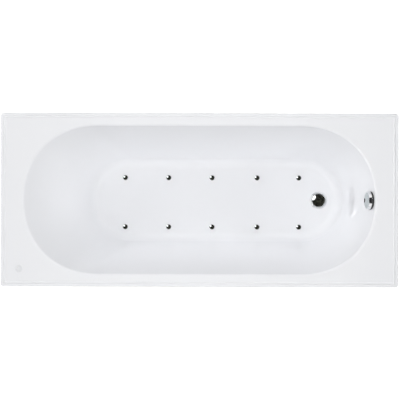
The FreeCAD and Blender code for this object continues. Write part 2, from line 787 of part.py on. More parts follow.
def foot_lock_nuts():
    """Nuts that lock the studs against the cross tubes."""
    bore = STUD_RADIUS + RUNNING_CLEARANCE
    low = CROSS_UNDER - LOCK_NUT_HEIGHT
    return [hexagon(LOCK_NUT_WIDTH, bore, x, y, low, CROSS_UNDER) for x, y in FOOT_PLACES.values()]


# Air jets

def dome(radius, rise):
    """A shallow round cap on the level Z = 0."""
    ball = (radius ** 2 + rise ** 2) / (2 * rise)
    sphere = Part.makeSphere(ball, Vector(0, 0, rise - ball))
    return sphere.common(upright(radius + OVERCUT, 0, 0, 0, rise + OVERCUT))


def crowned(radius, skirt, crown):
    """A round drum on the level Z = 0 with a shallow crown on top."""
    return joined([upright(radius, 0, 0, 0, skirt), dome(radius, crown).translated(Vector(0, 0, skirt))])


def jet_cap():
    """A chromed cap with air holes round its skirt and a snap tube below."""
    snap = JET_BORE_RADIUS - FIT_CLEARANCE
    outside = crowned(JET_CAP_RADIUS, JET_CAP_SKIRT, JET_CAP_CROWN)
    shoulder = [edge for edge in outside.Edges if edge.BoundBox.ZMin > JET_CAP_SKIRT - NEAR
                and edge.BoundBox.ZMax < JET_CAP_SKIRT + NEAR]
    outside = outside.makeFillet(JET_CAP_EDGE, shoulder)
    cavity = crowned(JET_CAP_RADIUS - JET_CAP_WALL, JET_CAP_SKIRT - JET_CAP_WALL, JET_CAP_CROWN)
    ceiling = JET_CAP_SKIRT + JET_CAP_CROWN - JET_CAP_WALL
    tube = ring(snap, snap - JET_CAP_WALL, 0, 0, -JET_SNAP_DEPTH, ceiling)
    cap = joined([outside.cut(cavity), tube])
    lift = Vector(0, 0, JET_AIR_HOLE_RADIUS + JET_AIR_HOLE_LIFT)
    holes = []
    for step in range(JET_AIR_HOLES):
        angle = 2 * math.pi * step / JET_AIR_HOLES
        outward = Vector(math.cos(angle), math.sin(angle), 0)
        inside = outward * (snap / 2) + lift
        outside = outward * (JET_CAP_RADIUS + OVERCUT) + lift
        holes.append(rod(JET_AIR_HOLE_RADIUS, inside, outside))
    return cap.cut(holes)


def jet_caps():
    """The cap of every jet."""
    top = FLOOR_Z + JET_GASKET_THICKNESS + JET_FLANGE_THICKNESS
    cap = jet_cap()
    return [cap.translated(Vector(x, y, top)) for x, y in jet_places()]


def jet_body(x, y, last):
    """A flanged stem through the floor with a hose tail each way, or one tail at the row's end."""
    top = FLOOR_Z + JET_GASKET_THICKNESS
    tail = JET_HOSE_BORE - FIT_CLEARANCE
    head_end = Vector(x - JET_TEE_HALF - JET_TAIL_LENGTH, y, JET_TEE_Z)
    foot_end = Vector(x if last else x + JET_TEE_HALF + JET_TAIL_LENGTH, y, JET_TEE_Z)
    tee_end = Vector(x if last else x + JET_TEE_HALF, y, JET_TEE_Z)
    solid = joined([
        upright(JET_FLANGE_RADIUS, x, y, top, top + JET_FLANGE_THICKNESS),
        upright(JET_STEM_RADIUS, x, y, JET_TEE_Z - JET_TEE_RADIUS, top),
        rod(JET_TEE_RADIUS, Vector(x - JET_TEE_HALF, y, JET_TEE_Z), tee_end),
        rod(tail, head_end, foot_end),
    ])
    bore = upright(JET_BORE_RADIUS, x, y, JET_TEE_Z, top + JET_FLANGE_THICKNESS)
    return solid.cut([bore, rod(JET_PASSAGE_RADIUS, head_end, foot_end)])


def jet_bodies():
    """The body of every jet."""
    return [jet_body(x, y, x == jet_stations()[-1]) for x, y in jet_places()]


def jet_nuts():
    """The nut of every jet, under the floor."""
    bore = JET_STEM_RADIUS + RUNNING_CLEARANCE
    low = FLOOR_UNDER - JET_NUT_HEIGHT
    return [hexagon(JET_NUT_WIDTH, bore, x, y, low, FLOOR_UNDER) for x, y in jet_places()]


def jet_gaskets():
    """The gasket of every jet, between its flange and the floor."""
    bore = JET_STEM_RADIUS + FIT_CLEARANCE
    top = FLOOR_Z + JET_GASKET_THICKNESS
    return [ring(JET_FLANGE_RADIUS, bore, x, y, FLOOR_Z, top) for x, y in jet_places()]


def jet_hoses(name, y):
    """The hoses that link one row's jets, and the one that feeds them from the manifold."""
    hoses = []
    stations = jet_stations()
    for station, following in zip(stations, stations[1:]):
        start = Vector(station + JET_TEE_HALF, y, JET_TEE_Z)
        end = Vector(following - JET_TEE_HALF, y, JET_TEE_Z)
        hoses.append(pipe(JET_HOSE_RADIUS, JET_HOSE_BORE, start, end))
    start = stations[0] - JET_TEE_HALF
    span = start - MANIFOLD_FACE
    points = [
        Vector(start, y, JET_TEE_Z),
        Vector(start - span * FEED_BEND_SHARE, y, JET_TEE_Z),
        Vector(MANIFOLD_FACE + span * FEED_BEND_SHARE, y, MANIFOLD_OUTLET_Z),
        Vector(MANIFOLD_FACE, y, MANIFOLD_OUTLET_Z),
    ]
    hoses.append(hose(name, points, JET_HOSE_RADIUS, JET_HOSE_BORE))
    return hoses


# Air supply

def air_manifold():
    """A hollow box on the rails that shares the air between the two rows."""
    half = MANIFOLD_DEPTH / 2
    front = FRONT_ROW_Y - MANIFOLD_OVERHANG
    rear = REAR_ROW_Y + MANIFOLD_OVERHANG
    box = block(MANIFOLD_X - half, MANIFOLD_X + half, front, rear, BOARD_UNDER, MANIFOLD_TOP)
    standing = [edge for edge in box.Edges if abs(edge.tangentAt(edge.FirstParameter).z) > 0.5]
    box = box.makeFillet(MANIFOLD_EDGE, standing)
    wall = MANIFOLD_WALL
    hollow = block(
        MANIFOLD_X - half + wall, MANIFOLD_X + half - wall, front + wall, rear - wall,
        BOARD_UNDER + wall, MANIFOLD_TOP - wall,
    )
    nozzle = upright(AIR_HOSE_BORE - FIT_CLEARANCE, MANIFOLD_X, FEED_Y, MANIFOLD_TOP - wall,
                     MANIFOLD_TOP + AIR_NOZZLE_LENGTH)
    bores = [hollow, upright(AIR_NOZZLE_BORE, MANIFOLD_X, FEED_Y, MANIFOLD_TOP - 2 * wall,
                             MANIFOLD_TOP + AIR_NOZZLE_LENGTH)]
    outside = [box, nozzle]
    for y in (FRONT_ROW_Y, REAR_ROW_Y):
        inner = Vector(MANIFOLD_FACE - wall, y, MANIFOLD_OUTLET_Z)
        outer = Vector(MANIFOLD_FACE + JET_TAIL_LENGTH, y, MANIFOLD_OUTLET_Z)
        outside.append(rod(JET_HOSE_BORE - FIT_CLEARANCE, inner, outer))
        bores.append(rod(JET_PASSAGE_RADIUS, inner - Vector(wall, 0, 0), outer))
    return joined(outside).cut(bores)


def check_valve():
    """The non-return valve in the hose, with a nozzle at each end."""
    top = VALVE_BOTTOM + VALVE_LENGTH
    body = upright(VALVE_RADIUS, VALVE_X, FEED_Y, VALVE_BOTTOM, top)
    body = body.makeFillet(VALVE_EDGE, body.Edges)
    nozzle = AIR_HOSE_BORE - FIT_CLEARANCE
    low = VALVE_BOTTOM - AIR_NOZZLE_LENGTH
    high = top + AIR_NOZZLE_LENGTH
    whole = joined([body, upright(nozzle, VALVE_X, FEED_Y, low, high)])
    return whole.cut(upright(AIR_NOZZLE_BORE, VALVE_X, FEED_Y, low, high))


def riser_points():
    """From the blower up over the water line to the valve."""
    return [
        Vector(BLOWER_OUTLET_X, BLOWER_OUTLET_Y, BLOWER_OUTLET_Z),
        Vector(BLOWER_OUTLET_X, RISER_Y, BLOWER_OUTLET_Z),
        Vector(VALVE_X, RISER_Y, LOOP_TOP),
        Vector(VALVE_X, FEED_Y, LOOP_TOP),
        Vector(VALVE_X, FEED_Y, VALVE_BOTTOM + VALVE_LENGTH),
    ]


def feed_points():
    """From the valve down to the manifold."""
    return [
        Vector(VALVE_X, FEED_Y, VALVE_BOTTOM),
        Vector(VALVE_X, FEED_Y, VALVE_BOTTOM - FEED_BEND_DROP),
        Vector(MANIFOLD_X, FEED_Y, MANIFOLD_TOP + FEED_BEND_RISE),
        Vector(MANIFOLD_X, FEED_Y, MANIFOLD_TOP),
    ]


def clamp(end, away, radius):
    """A band round a hose near its end, with its screw housing."""
    bore = radius + CLAMP_GAP
    outside = bore + CLAMP_THICKNESS
    band = ring(outside, bore, 0, 0, CLAMP_INSET, CLAMP_INSET + CLAMP_WIDTH)
    housing = block(-CLAMP_LUG, CLAMP_LUG, -outside - CLAMP_LUG, -bore - CLAMP_THICKNESS / 2,
                    CLAMP_INSET, CLAMP_INSET + CLAMP_WIDTH)
    whole = joined([band, housing])
    whole.Placement = FreeCAD.Placement(end, FreeCAD.Rotation(UP, away))
    return whole


def hose_clamps():
    """A clamp at both ends of each large hose."""
    clamps = []
    for points, radius in ((riser_points(), AIR_HOSE_RADIUS), (feed_points(), AIR_HOSE_RADIUS),
                           (overflow_points(), RIB_CREST_RADIUS)):
        clamps.append(clamp(points[0], points[1] - points[0], radius))
        clamps.append(clamp(points[-1], points[-2] - points[-1], radius))
    return clamps


# Blower

def blower_tray():
    """The plate on the rails that carries the blower."""
    reach = BLOWER_RADIUS + TRAY_MARGIN
    front = -RAIL_Y - TUBE_SIDE / 2
    tray = block(BLOWER_X - reach, BLOWER_X + reach, front, BLOWER_Y + BLOWER_RADIUS, BOARD_UNDER, TRAY_TOP)
    return tray.cut(tray_bolts())


def blower_housing():
    """The round case that the impeller turns in, with its outlet."""
    floor = TRAY_TOP + BLOWER_WALL
    case = upright(BLOWER_RADIUS, BLOWER_X, BLOWER_Y, TRAY_TOP, HOUSING_TOP)
    inside = Vector(BLOWER_OUTLET_X, BLOWER_Y - OUTLET_START, BLOWER_OUTLET_Z)
    shoulder = Vector(BLOWER_OUTLET_X, BLOWER_OUTLET_Y, BLOWER_OUTLET_Z)
    tip = Vector(BLOWER_OUTLET_X, BLOWER_OUTLET_Y - AIR_NOZZLE_LENGTH, BLOWER_OUTLET_Z)
    duct = rod(OUTLET_RADIUS, inside, shoulder)
    nozzle = rod(AIR_HOSE_BORE - FIT_CLEARANCE, shoulder, tip)
    cavity = upright(BLOWER_RADIUS - BLOWER_WALL, BLOWER_X, BLOWER_Y, floor, HOUSING_TOP)
    return joined([case, duct, nozzle]).cut([cavity, rod(AIR_NOZZLE_BORE, inside, tip)])


def blower_motor():
    """The motor on its round plate, bored for the shaft."""
    plate = upright(BLOWER_RADIUS, BLOWER_X, BLOWER_Y, HOUSING_TOP, COVER_BASE)
    can = upright(MOTOR_RADIUS, BLOWER_X, BLOWER_Y, HOUSING_TOP, COVER_BASE + MOTOR_HEIGHT)
    shaft = SHAFT_RADIUS + RUNNING_CLEARANCE
    bore = upright(shaft, BLOWER_X, BLOWER_Y, HOUSING_TOP, COVER_BASE + SHAFT_IN_MOTOR)
    holes = []
    for step in range(AIR_HOLE_COUNT):
        angle = 2 * math.pi * step / AIR_HOLE_COUNT
        x = BLOWER_X + AIR_HOLE_CIRCLE * math.cos(angle)
        y = BLOWER_Y + AIR_HOLE_CIRCLE * math.sin(angle)
        holes.append(upright(AIR_HOLE_RADIUS, x, y, HOUSING_TOP, COVER_BASE))
    return joined([plate, can]).cut([bore] + holes)


def blower_impeller():
    """The bladed disc on its shaft."""
    low = TRAY_TOP + BLOWER_WALL + IMPELLER_LIFT
    top = low + IMPELLER_DISC + BLADE_HEIGHT
    pieces = [
        upright(IMPELLER_RADIUS, 0, 0, low, low + IMPELLER_DISC),
        upright(IMPELLER_HUB, 0, 0, low, top),
        upright(SHAFT_RADIUS, 0, 0, low, COVER_BASE + SHAFT_IN_MOTOR - RUNNING_CLEARANCE),
    ]
    half = BLADE_THICKNESS / 2
    for step in range(BLADE_COUNT):
        blade = block(IMPELLER_HUB - half, IMPELLER_RADIUS - half, -half, half, low, top)
        blade.rotate(Vector(0, 0, 0), UP, 360 * step / BLADE_COUNT)
        pieces.append(blade)
    return joined(pieces).translated(Vector(BLOWER_X, BLOWER_Y, 0))


def blower_cover():
    """The vented cover over the motor, with the mains gland and the control tube's tail."""
    top = COVER_BASE + BLOWER_COVER_HEIGHT
    case = upright(BLOWER_RADIUS, BLOWER_X, BLOWER_Y, COVER_BASE, top)
    rim = [edge for edge in case.Edges if edge.BoundBox.ZMin > top - NEAR]
    case = case.makeFillet(BLOWER_EDGE, rim)
    cavity = upright(BLOWER_RADIUS - BLOWER_WALL, BLOWER_X, BLOWER_Y, COVER_BASE, top - BLOWER_WALL)
    inner_rim = [edge for edge in cavity.Edges if edge.BoundBox.ZMin > top - BLOWER_WALL - NEAR]
    cavity = cavity.makeFillet(BLOWER_EDGE - BLOWER_WALL, inner_rim)
    middle = COVER_BASE + BLOWER_COVER_HEIGHT / 2
    rear = BLOWER_Y + BLOWER_RADIUS
    front = BLOWER_Y - BLOWER_RADIUS
    gland = [Vector(BLOWER_X, rear - BLOWER_WALL, middle), Vector(BLOWER_X, rear + GLAND_LENGTH, middle)]
    tail = [Vector(BLOWER_X, front + BLOWER_WALL, middle), Vector(BLOWER_X, front - CONTROL_TAIL, middle)]
    outside = [case.cut(cavity), rod(GLAND_RADIUS, gland[0], gland[1])]
    outside.append(rod(CONTROL_TUBE_BORE - RUNNING_CLEARANCE, tail[0], tail[1]))
    vents = []
    for step in range(VENT_COUNT):
        inner = BLOWER_RADIUS - 2 * BLOWER_WALL
        outer = BLOWER_RADIUS + BLOWER_WALL
        low = middle - VENT_HEIGHT / 2
        slot = block(inner, outer, -VENT_WIDTH / 2, VENT_WIDTH / 2, low, low + VENT_HEIGHT)
        slot.rotate(Vector(0, 0, 0), UP, 360 * (step + 0.5) / VENT_COUNT)
        vents.append(slot.translated(Vector(BLOWER_X, BLOWER_Y, 0)))
    return joined(outside).cut(vents + [rod(GLAND_RADIUS / 2, gland[0], gland[1])])


# Air button

def button_bezel():
    """The ring on the deck round the button."""
    top = DECK_HEIGHT + BUTTON_BEZEL_RISE
    bezel = upright(BUTTON_BEZEL_RADIUS, BUTTON_X, BUTTON_Y, DECK_HEIGHT, top)
    rim = [edge for edge in bezel.Edges if edge.BoundBox.ZMin > top - NEAR]
    bezel = bezel.makeFillet(BUTTON_BEZEL_RISE / 2, rim)
    bore = BUTTON_CAP_RADIUS + RUNNING_CLEARANCE
    return bezel.cut(upright(bore, BUTTON_X, BUTTON_Y, DECK_HEIGHT - OVERCUT, top + OVERCUT))


def button_cap():
    """The plunger that is pressed."""
    top = DECK_HEIGHT + BUTTON_BEZEL_RISE + BUTTON_CAP_RISE
    cap = upright(BUTTON_CAP_RADIUS, BUTTON_X, BUTTON_Y, top - BUTTON_CAP_DEPTH, top)
    upper = [edge for edge in cap.Edges if edge.BoundBox.ZMin > top - NEAR]
    return cap.makeFillet(BUTTON_CAP_RISE / 2, upper)


def button_body():
    """The threaded barrel through the deck, with a tail for the control tube."""
    low = DECK_HEIGHT - BUTTON_DEPTH
    barrel = upright(BUTTON_BARREL_RADIUS, BUTTON_X, BUTTON_Y, low, DECK_HEIGHT)
    tail = upright(CONTROL_TUBE_BORE - RUNNING_CLEARANCE, BUTTON_X, BUTTON_Y, low - CONTROL_TAIL, low)
    bore = upright(BUTTON_CAP_RADIUS + RUNNING_CLEARANCE, BUTTON_X, BUTTON_Y, low + BUTTON_WALL, DECK_HEIGHT)
    return joined([barrel, tail]).cut(bore)


def button_nut():
    """The nut under the deck."""
    bore = BUTTON_BARREL_RADIUS + RUNNING_CLEARANCE
    low = DECK_UNDER - BUTTON_NUT_HEIGHT
    return hexagon(BUTTON_NUT_WIDTH, bore, BUTTON_X, BUTTON_Y, low, DECK_UNDER)


def button_spring():
    """The return spring's outer form, from the barrel's floor to the plunger."""
    low = DECK_HEIGHT - BUTTON_DEPTH + BUTTON_WALL
    high = DECK_HEIGHT + BUTTON_BEZEL_RISE + BUTTON_CAP_RISE - BUTTON_CAP_DEPTH
    return ring(SPRING_RADIUS, SPRING_RADIUS - SPRING_WIRE, BUTTON_X, BUTTON_Y, low, high)


def control_tube():
    """The small tube from the button down to the blower's cover."""
    middle = COVER_BASE + BLOWER_COVER_HEIGHT / 2
    between = (BUTTON_X + BLOWER_X) / 2
    points = [
        Vector(BUTTON_X, BUTTON_Y, DECK_HEIGHT - BUTTON_DEPTH),
        Vector(BUTTON_X, BUTTON_Y, DECK_HEIGHT - CONTROL_FIRST_DROP),
        Vector(between, BUTTON_Y + CONTROL_MIDDLE_REACH, middle + CONTROL_MIDDLE_RISE),
        Vector(BLOWER_X, BUTTON_Y + CONTROL_THIRD_REACH, middle + CONTROL_THIRD_RISE),
        Vector(BLOWER_X, BLOWER_Y - CONTROL_LAST_REACH, middle),
        Vector(BLOWER_X, BLOWER_Y - BLOWER_RADIUS, middle),
    ]
    return hose("control_tube", points, CONTROL_TUBE_RADIUS, CONTROL_TUBE_BORE)


# Waste

def at_drain(shape):
    """A shape drawn about the Z axis from the floor's level, moved to the drain."""
    return shape.translated(Vector(DRAIN_X, 0, FLOOR_Z))


def drain_flange():
    """The chromed ring in the floor, with its seat, its threaded tail and the plug's guide."""
    outside = CUP_RADIUS + CUP_WALL
    bore = TAIL_RADIUS - TAIL_WALL
    profile = [
        (FLANGE_RADIUS, 0), (FLANGE_RADIUS - FLANGE_RISE / 5, FLANGE_RISE / 2),
        (FLANGE_RADIUS - FLANGE_RISE, FLANGE_RISE * 0.9), (outside, FLANGE_RISE),
        (CUP_RADIUS, FLANGE_RISE * 0.75), (CUP_RADIUS, -CUP_DEPTH), (bore, -CUP_DEPTH),
        (bore, -TAIL_DEPTH), (TAIL_RADIUS, -TAIL_DEPTH), (TAIL_RADIUS, -CUP_DEPTH - CUP_WALL),
        (outside, -CUP_DEPTH - CUP_WALL), (outside, 0),
    ]
    low = -TAIL_DEPTH
    high = low + SPIDER_THICKNESS
    arms = [upright(SPIDER_HUB, 0, 0, low, high)]
    reach = bore + TAIL_WALL / 2
    half = SPIDER_ARM / 2
    for x, y in ((reach, half), (half, reach)):
        arms.append(block(-x, x, -y, y, low, high))
    guide = upright(PLUG_STEM_RADIUS + RUNNING_CLEARANCE, 0, 0, low - OVERCUT, high + OVERCUT)
    return at_drain(joined([turned(profile)] + arms).cut(guide))


def drain_gasket():
    """The gasket between the floor and the waste body."""
    bore = CUP_RADIUS + CUP_WALL + HOLE_CLEARANCE
    return ring(WASTE_RIM_RADIUS, bore, DRAIN_X, 0, FLOOR_UNDER - DRAIN_GASKET, FLOOR_UNDER)


def drain_plug():
    """The crowned plug on its stem."""
    low = -CUP_DEPTH + SEAL_THICKNESS
    edge = low + PLUG_EDGE
    crown = dome(PLUG_RADIUS, PLUG_CROWN).translated(Vector(0, 0, edge))
    disc = upright(PLUG_RADIUS, 0, 0, low, edge)
    stem = upright(PLUG_STEM_RADIUS, 0, 0, low - PLUG_STEM_LENGTH, low)
    return at_drain(joined([crown, disc, stem]))


def plug_seal():
    """The rubber ring under the plug, on the flange's seat."""
    bore = TAIL_RADIUS - TAIL_WALL - SEAL_LAP
    return at_drain(ring(PLUG_RADIUS - SEAL_INSET, bore, 0, 0, -CUP_DEPTH, -CUP_DEPTH + SEAL_THICKNESS))


def waste_body():
    """The body clamped under the floor: overflow inlet on its side, dip tube below."""
    top = FLOOR_UNDER - DRAIN_GASKET
    bore = TAIL_RADIUS + FIT_CLEARANCE
    inlet_bore = OVERFLOW_HOSE_BORE - FIT_CLEARANCE - NOZZLE_WALL
    axis = Vector(DRAIN_X, 0, HOSE_INLET_HEIGHT)
    shoulder = axis + Vector(HOSE_INLET_REACH, 0, 0)
    tip = shoulder + Vector(NOZZLE_LENGTH, 0, 0)
    boss = Vector(DRAIN_X, CABLE_Y, CABLE_ENTRY_HEIGHT)
    outside = [
        upright(WASTE_RIM_RADIUS, DRAIN_X, 0, top - WASTE_RIM_THICKNESS, top),
        upright(WASTE_RADIUS, DRAIN_X, 0, WASTE_BOTTOM, top),
        upright(DIP_RADIUS, DRAIN_X, 0, DIP_BOTTOM, WASTE_BOTTOM),
        rod(RIB_CREST_RADIUS, axis, shoulder),
        rod(OVERFLOW_HOSE_BORE - FIT_CLEARANCE, shoulder, tip),
        rod(CABLE_BOSS_RADIUS, boss, boss + Vector(CABLE_BOSS_REACH, 0, 0)),
    ]
    bores = [
        upright(bore, DRAIN_X, 0, WASTE_BOTTOM + WASTE_WALL, top),
        upright(DIP_RADIUS - DIP_WALL, DRAIN_X, 0, DIP_BOTTOM, WASTE_BOTTOM + WASTE_WALL),
        rod(inlet_bore, axis, tip),
    ]
    return joined(outside).cut(bores)


def trap_bowl():
    """The bowl round the dip tube, with the socket for the outlet pipe."""
    neck_bore = DIP_RADIUS + FIT_CLEARANCE
    socket_bore = OUTLET_PIPE_RADIUS + FIT_CLEARANCE
    axis = Vector(DRAIN_X, 0, OUTLET_PIPE_HEIGHT)
    mouth = axis + Vector(SOCKET_REACH, 0, 0)
    outside = [
        upright(BOWL_RADIUS, DRAIN_X, 0, BOWL_BOTTOM, BOWL_TOP),
        upright(neck_bore + NECK_WALL, DRAIN_X, 0, BOWL_TOP, WASTE_BOTTOM),
        rod(socket_bore + SOCKET_WALL, axis, mouth),
    ]
    bores = [
        upright(BOWL_RADIUS - BOWL_WALL, DRAIN_X, 0, BOWL_BOTTOM, BOWL_TOP - BOWL_WALL),
        upright(neck_bore, DRAIN_X, 0, BOWL_TOP - BOWL_WALL, WASTE_BOTTOM),
        rod(OUTLET_PIPE_RADIUS - OUTLET_PIPE_WALL, axis, mouth),
        rod(socket_bore, axis + Vector(PIPE_START, 0, 0), mouth),
    ]
    return joined(outside).cut(bores)


def trap_cap():
    """The ribbed cap screwed on the bowl's foot for cleaning."""
    bore = BOWL_RADIUS + FIT_CLEARANCE
    outside = bore + TRAP_CAP_WALL
    low = BOWL_BOTTOM - TRAP_CAP_WALL
    high = low + TRAP_CAP_HEIGHT
    cup = upright(outside, 0, 0, low, high)
    half = RIB_SIDE / 2
    pieces = [cup]
    for step in range(TRAP_CAP_RIBS):
        rib = block(outside - half, outside + half, -half, half, low, high)
        rib.rotate(Vector(0, 0, 0), UP, 360 * step / TRAP_CAP_RIBS)
        pieces.append(rib)
    return joined(pieces).cut(upright(bore, 0, 0, BOWL_BOTTOM, high)).translated(Vector(DRAIN_X, 0, 0))


def waste_pipe():
    """The outlet pipe from the trap, with a collar that stops the house's socket on its free end."""
    start = Vector(DRAIN_X + PIPE_START, 0, OUTLET_PIPE_HEIGHT)
    end = Vector(OUTLET_PIPE_END, 0, OUTLET_PIPE_HEIGHT)
    stop = end - Vector(OUTLET_SPIGOT, 0, 0)
    collar = rod(OUTLET_COLLAR_RADIUS, stop - Vector(OUTLET_COLLAR_WIDTH, 0, 0), stop)
    solid = joined([rod(OUTLET_PIPE_RADIUS, start, end), collar])
    return solid.cut(rod(OUTLET_PIPE_RADIUS - OUTLET_PIPE_WALL, start, end))


def waste_union_nuts():
    """The nut between waste body and bowl, and the one at the outlet pipe."""
    neck = DIP_RADIUS + FIT_CLEARANCE + NECK_WALL + FIT_CLEARANCE
    upper = ring(neck + NUT_WALL, neck, DRAIN_X, 0, BOWL_TOP, WASTE_BOTTOM)
    socket = OUTLET_PIPE_RADIUS + SOCKET_WALL + 2 * FIT_CLEARANCE
    mouth = Vector(DRAIN_X + SOCKET_REACH, 0, OUTLET_PIPE_HEIGHT)
    back = mouth - Vector(NUT_LENGTH, 0, 0)
    lip = mouth + Vector(NUT_LIP, 0, 0)
    side = rod(socket + NUT_WALL, back, lip)
    side = side.cut([rod(socket, back, mouth), rod(OUTLET_PIPE_RADIUS + FIT_CLEARANCE, back, lip)])
    return [upper, side]


# Overflow

def overflow_flange():
    """The slotted plate behind the knob, with a spigot through the wall and a bearing for the spindle."""
    plate = upright(OVERFLOW_FLANGE_RADIUS, 0, 0, OVERFLOW_SEAT, OVERFLOW_FLANGE_FRONT)
    outside = OVERFLOW_HOLE - SPIGOT_CLEARANCE
    spigot = ring(outside, outside - OVERFLOW_SPIGOT_WALL, 0, 0, OVERFLOW_SPIGOT_END, OVERFLOW_SEAT)
    hub = upright(OVERFLOW_HUB, 0, 0, OVERFLOW_SPIGOT_END / 2, OVERFLOW_SEAT)
    slots = [upright(SPINDLE_RADIUS + RUNNING_CLEARANCE, 0, 0, OVERFLOW_SPIGOT_END, OVERFLOW_FLANGE_FRONT)]
    for step in range(OVERFLOW_SLOTS):
        angle = 2 * math.pi * step / OVERFLOW_SLOTS
        x = OVERFLOW_SLOT_CIRCLE * math.cos(angle)
        y = OVERFLOW_SLOT_CIRCLE * math.sin(angle)
        slots.append(upright(OVERFLOW_SLOT_RADIUS, x, y, OVERFLOW_SEAT, OVERFLOW_FLANGE_FRONT))
    return on_end_wall(joined([plate, spigot, hub]).cut(slots))


def overflow_gaskets():
    """The gaskets on both sides of the end wall, shaped to its curve."""
    bore = OVERFLOW_HOLE + RUNNING_CLEARANCE
    back = -SHELL_WALL - REAR_GASKET
    inside = on_end_wall(ring(OVERFLOW_FLANGE_RADIUS, bore, 0, 0, back, OVERFLOW_SEAT))
    outside = on_end_wall(ring(OVERFLOW_BODY_RADIUS, bore, 0, 0, back, OVERFLOW_SEAT))
    return [inside.common(basin_form(0)), outside.cut(basin_form(SHELL_WALL))]


def overflow_body():
    """The cup behind the wall, with an outlet down the slope and a boss for the cable."""
    front = -SHELL_WALL - REAR_GASKET
    back = front - OVERFLOW_BODY_DEPTH
    wall = OVERFLOW_BODY_WALL
    level = (front + back) / 2
    axis = Vector(0, 0, level)
    shoulder = Vector(-OVERFLOW_OUTLET_START, 0, level)
    tip = shoulder - Vector(NOZZLE_LENGTH, 0, 0)
    nozzle = OVERFLOW_HOSE_BORE - FIT_CLEARANCE
    boss = Vector(0, CABLE_Y, level)
    outside = [
        upright(OVERFLOW_BODY_RADIUS, 0, 0, back, front),
        rod(RIB_CREST_RADIUS, axis, shoulder),
        rod(nozzle, shoulder, tip),
        rod(CABLE_BOSS_RADIUS, boss, boss - Vector(CABLE_BOSS_REACH, 0, 0)),
    ]
    bores = [
        upright(OVERFLOW_BODY_RADIUS - wall, 0, 0, back + wall, front - wall),
        upright(OVERFLOW_HOLE - SPIGOT_CLEARANCE + FIT_CLEARANCE, 0, 0, front - wall, front),
        rod(nozzle - NOZZLE_WALL, axis, tip),
    ]
    return on_end_wall(joined(outside).cut(bores))


def overflow_knob():
    """The rotary knob with two finger grips, on its spindle."""
    solid_back = KNOB_BACK + KNOB_SKIRT
    profile = [
        (0, solid_back), (KNOB_RADIUS - KNOB_WALL, solid_back), (KNOB_RADIUS - KNOB_WALL, KNOB_BACK),
        (KNOB_RADIUS, KNOB_BACK), (KNOB_RADIUS, solid_back),
        (KNOB_RADIUS - KNOB_TAPER, KNOB_FRONT - KNOB_EDGE),
        (KNOB_RADIUS - KNOB_TAPER - KNOB_EDGE, KNOB_FRONT), (0, KNOB_FRONT),
    ]
    spindle = upright(SPINDLE_RADIUS, 0, 0, SPINDLE_END, solid_back)
    grips = []
    for side in (-1, 1):
        x = side * (KNOB_RADIUS + GRIP_RADIUS - GRIP_BITE)
        grips.append(upright(GRIP_RADIUS, x, 0, KNOB_FRONT - GRIP_LENGTH, KNOB_FRONT + OVERCUT))
    return on_end_wall(joined([turned(profile), spindle]).cut(grips))


def overflow_points():
    """The overflow hose's route: down the slope behind the wall, then in to the waste body."""
    level = -SHELL_WALL - REAR_GASKET - OVERFLOW_BODY_DEPTH / 2
    start = OVERFLOW.multVec(Vector(-OVERFLOW_OUTLET_START, 0, level))
    below = OVERFLOW.multVec(Vector(-OVERFLOW_OUTLET_START - HOSE_FIRST_RUN, 0, level))
    corner = Vector(DRAIN_X + HOSE_CORNER_REACH, 0, HOSE_INLET_HEIGHT)
    end = Vector(DRAIN_X + HOSE_INLET_REACH, 0, HOSE_INLET_HEIGHT)
    return [start, below, corner, end]


def place_along(wire, distance):
    """The point and direction at a distance along a wire."""
    for edge in wire.OrderedEdges:
        if distance <= edge.Length or edge.isSame(wire.OrderedEdges[-1]):
            parameter = edge.getParameterByLength(min(distance, edge.Length))
            return edge.valueAt(parameter), edge.tangentAt(parameter)
        distance -= edge.Length


def hose_circle(wire, distance, radius):
    """A circle square to the wire, its own X axis always level."""
    point, direction = place_along(wire, distance)
    circle = Part.Circle(point, direction, radius)
    circle.XAxis = SIDEWAYS
    return Part.Wire(circle.toShape())


def overflow_hose():
    """The ribbed hose, with plain cuffs where it is clamped."""
    wire = route("overflow_hose", overflow_points())
    ribs = int((wire.Length - 2 * HOSE_CUFF) // RIB_PITCH)
    first = (wire.Length - ribs * RIB_PITCH) / 2
    last = wire.Length - first
    flank = RIB_FLANK * RIB_PITCH
    stations = [(0, RIB_CREST_RADIUS), (first - flank, RIB_CREST_RADIUS)]
    for step in range(ribs):
        low = first + step * RIB_PITCH
        for share, radius in RIB_STATIONS:
            stations.append((low + share * RIB_PITCH, radius))
    stations += [(last, RIB_TROUGH_RADIUS), (last + flank, RIB_CREST_RADIUS), (wire.Length, RIB_CREST_RADIUS)]
    circles = [hose_circle(wire, distance, radius) for distance, radius in stations]
    tube = Part.makeLoft(circles, True, True).cut(swept(wire, OVERFLOW_HOSE_BORE))
    print("overflow_hose", "length", round(wire.Length, 1), "ribs", ribs)
    return tube


def plug_cable():
    """The cable from the knob's cup to the waste body, beside the hose."""
    level = -SHELL_WALL - REAR_GASKET - OVERFLOW_BODY_DEPTH / 2
    points = [
        OVERFLOW.multVec(Vector(-CABLE_BOSS_REACH, CABLE_Y, level)),
        OVERFLOW.multVec(Vector(-CABLE_BOSS_REACH - HOSE_FIRST_RUN, CABLE_Y, level)),
        Vector(DRAIN_X + HOSE_CORNER_REACH, CABLE_Y, CABLE_ENTRY_HEIGHT),
        Vector(DRAIN_X + CABLE_BOSS_REACH, CABLE_Y, CABLE_ENTRY_HEIGHT),
    ]
    wire = route("plug_cable", points)
    return swept(wire, CABLE_RADIUS)


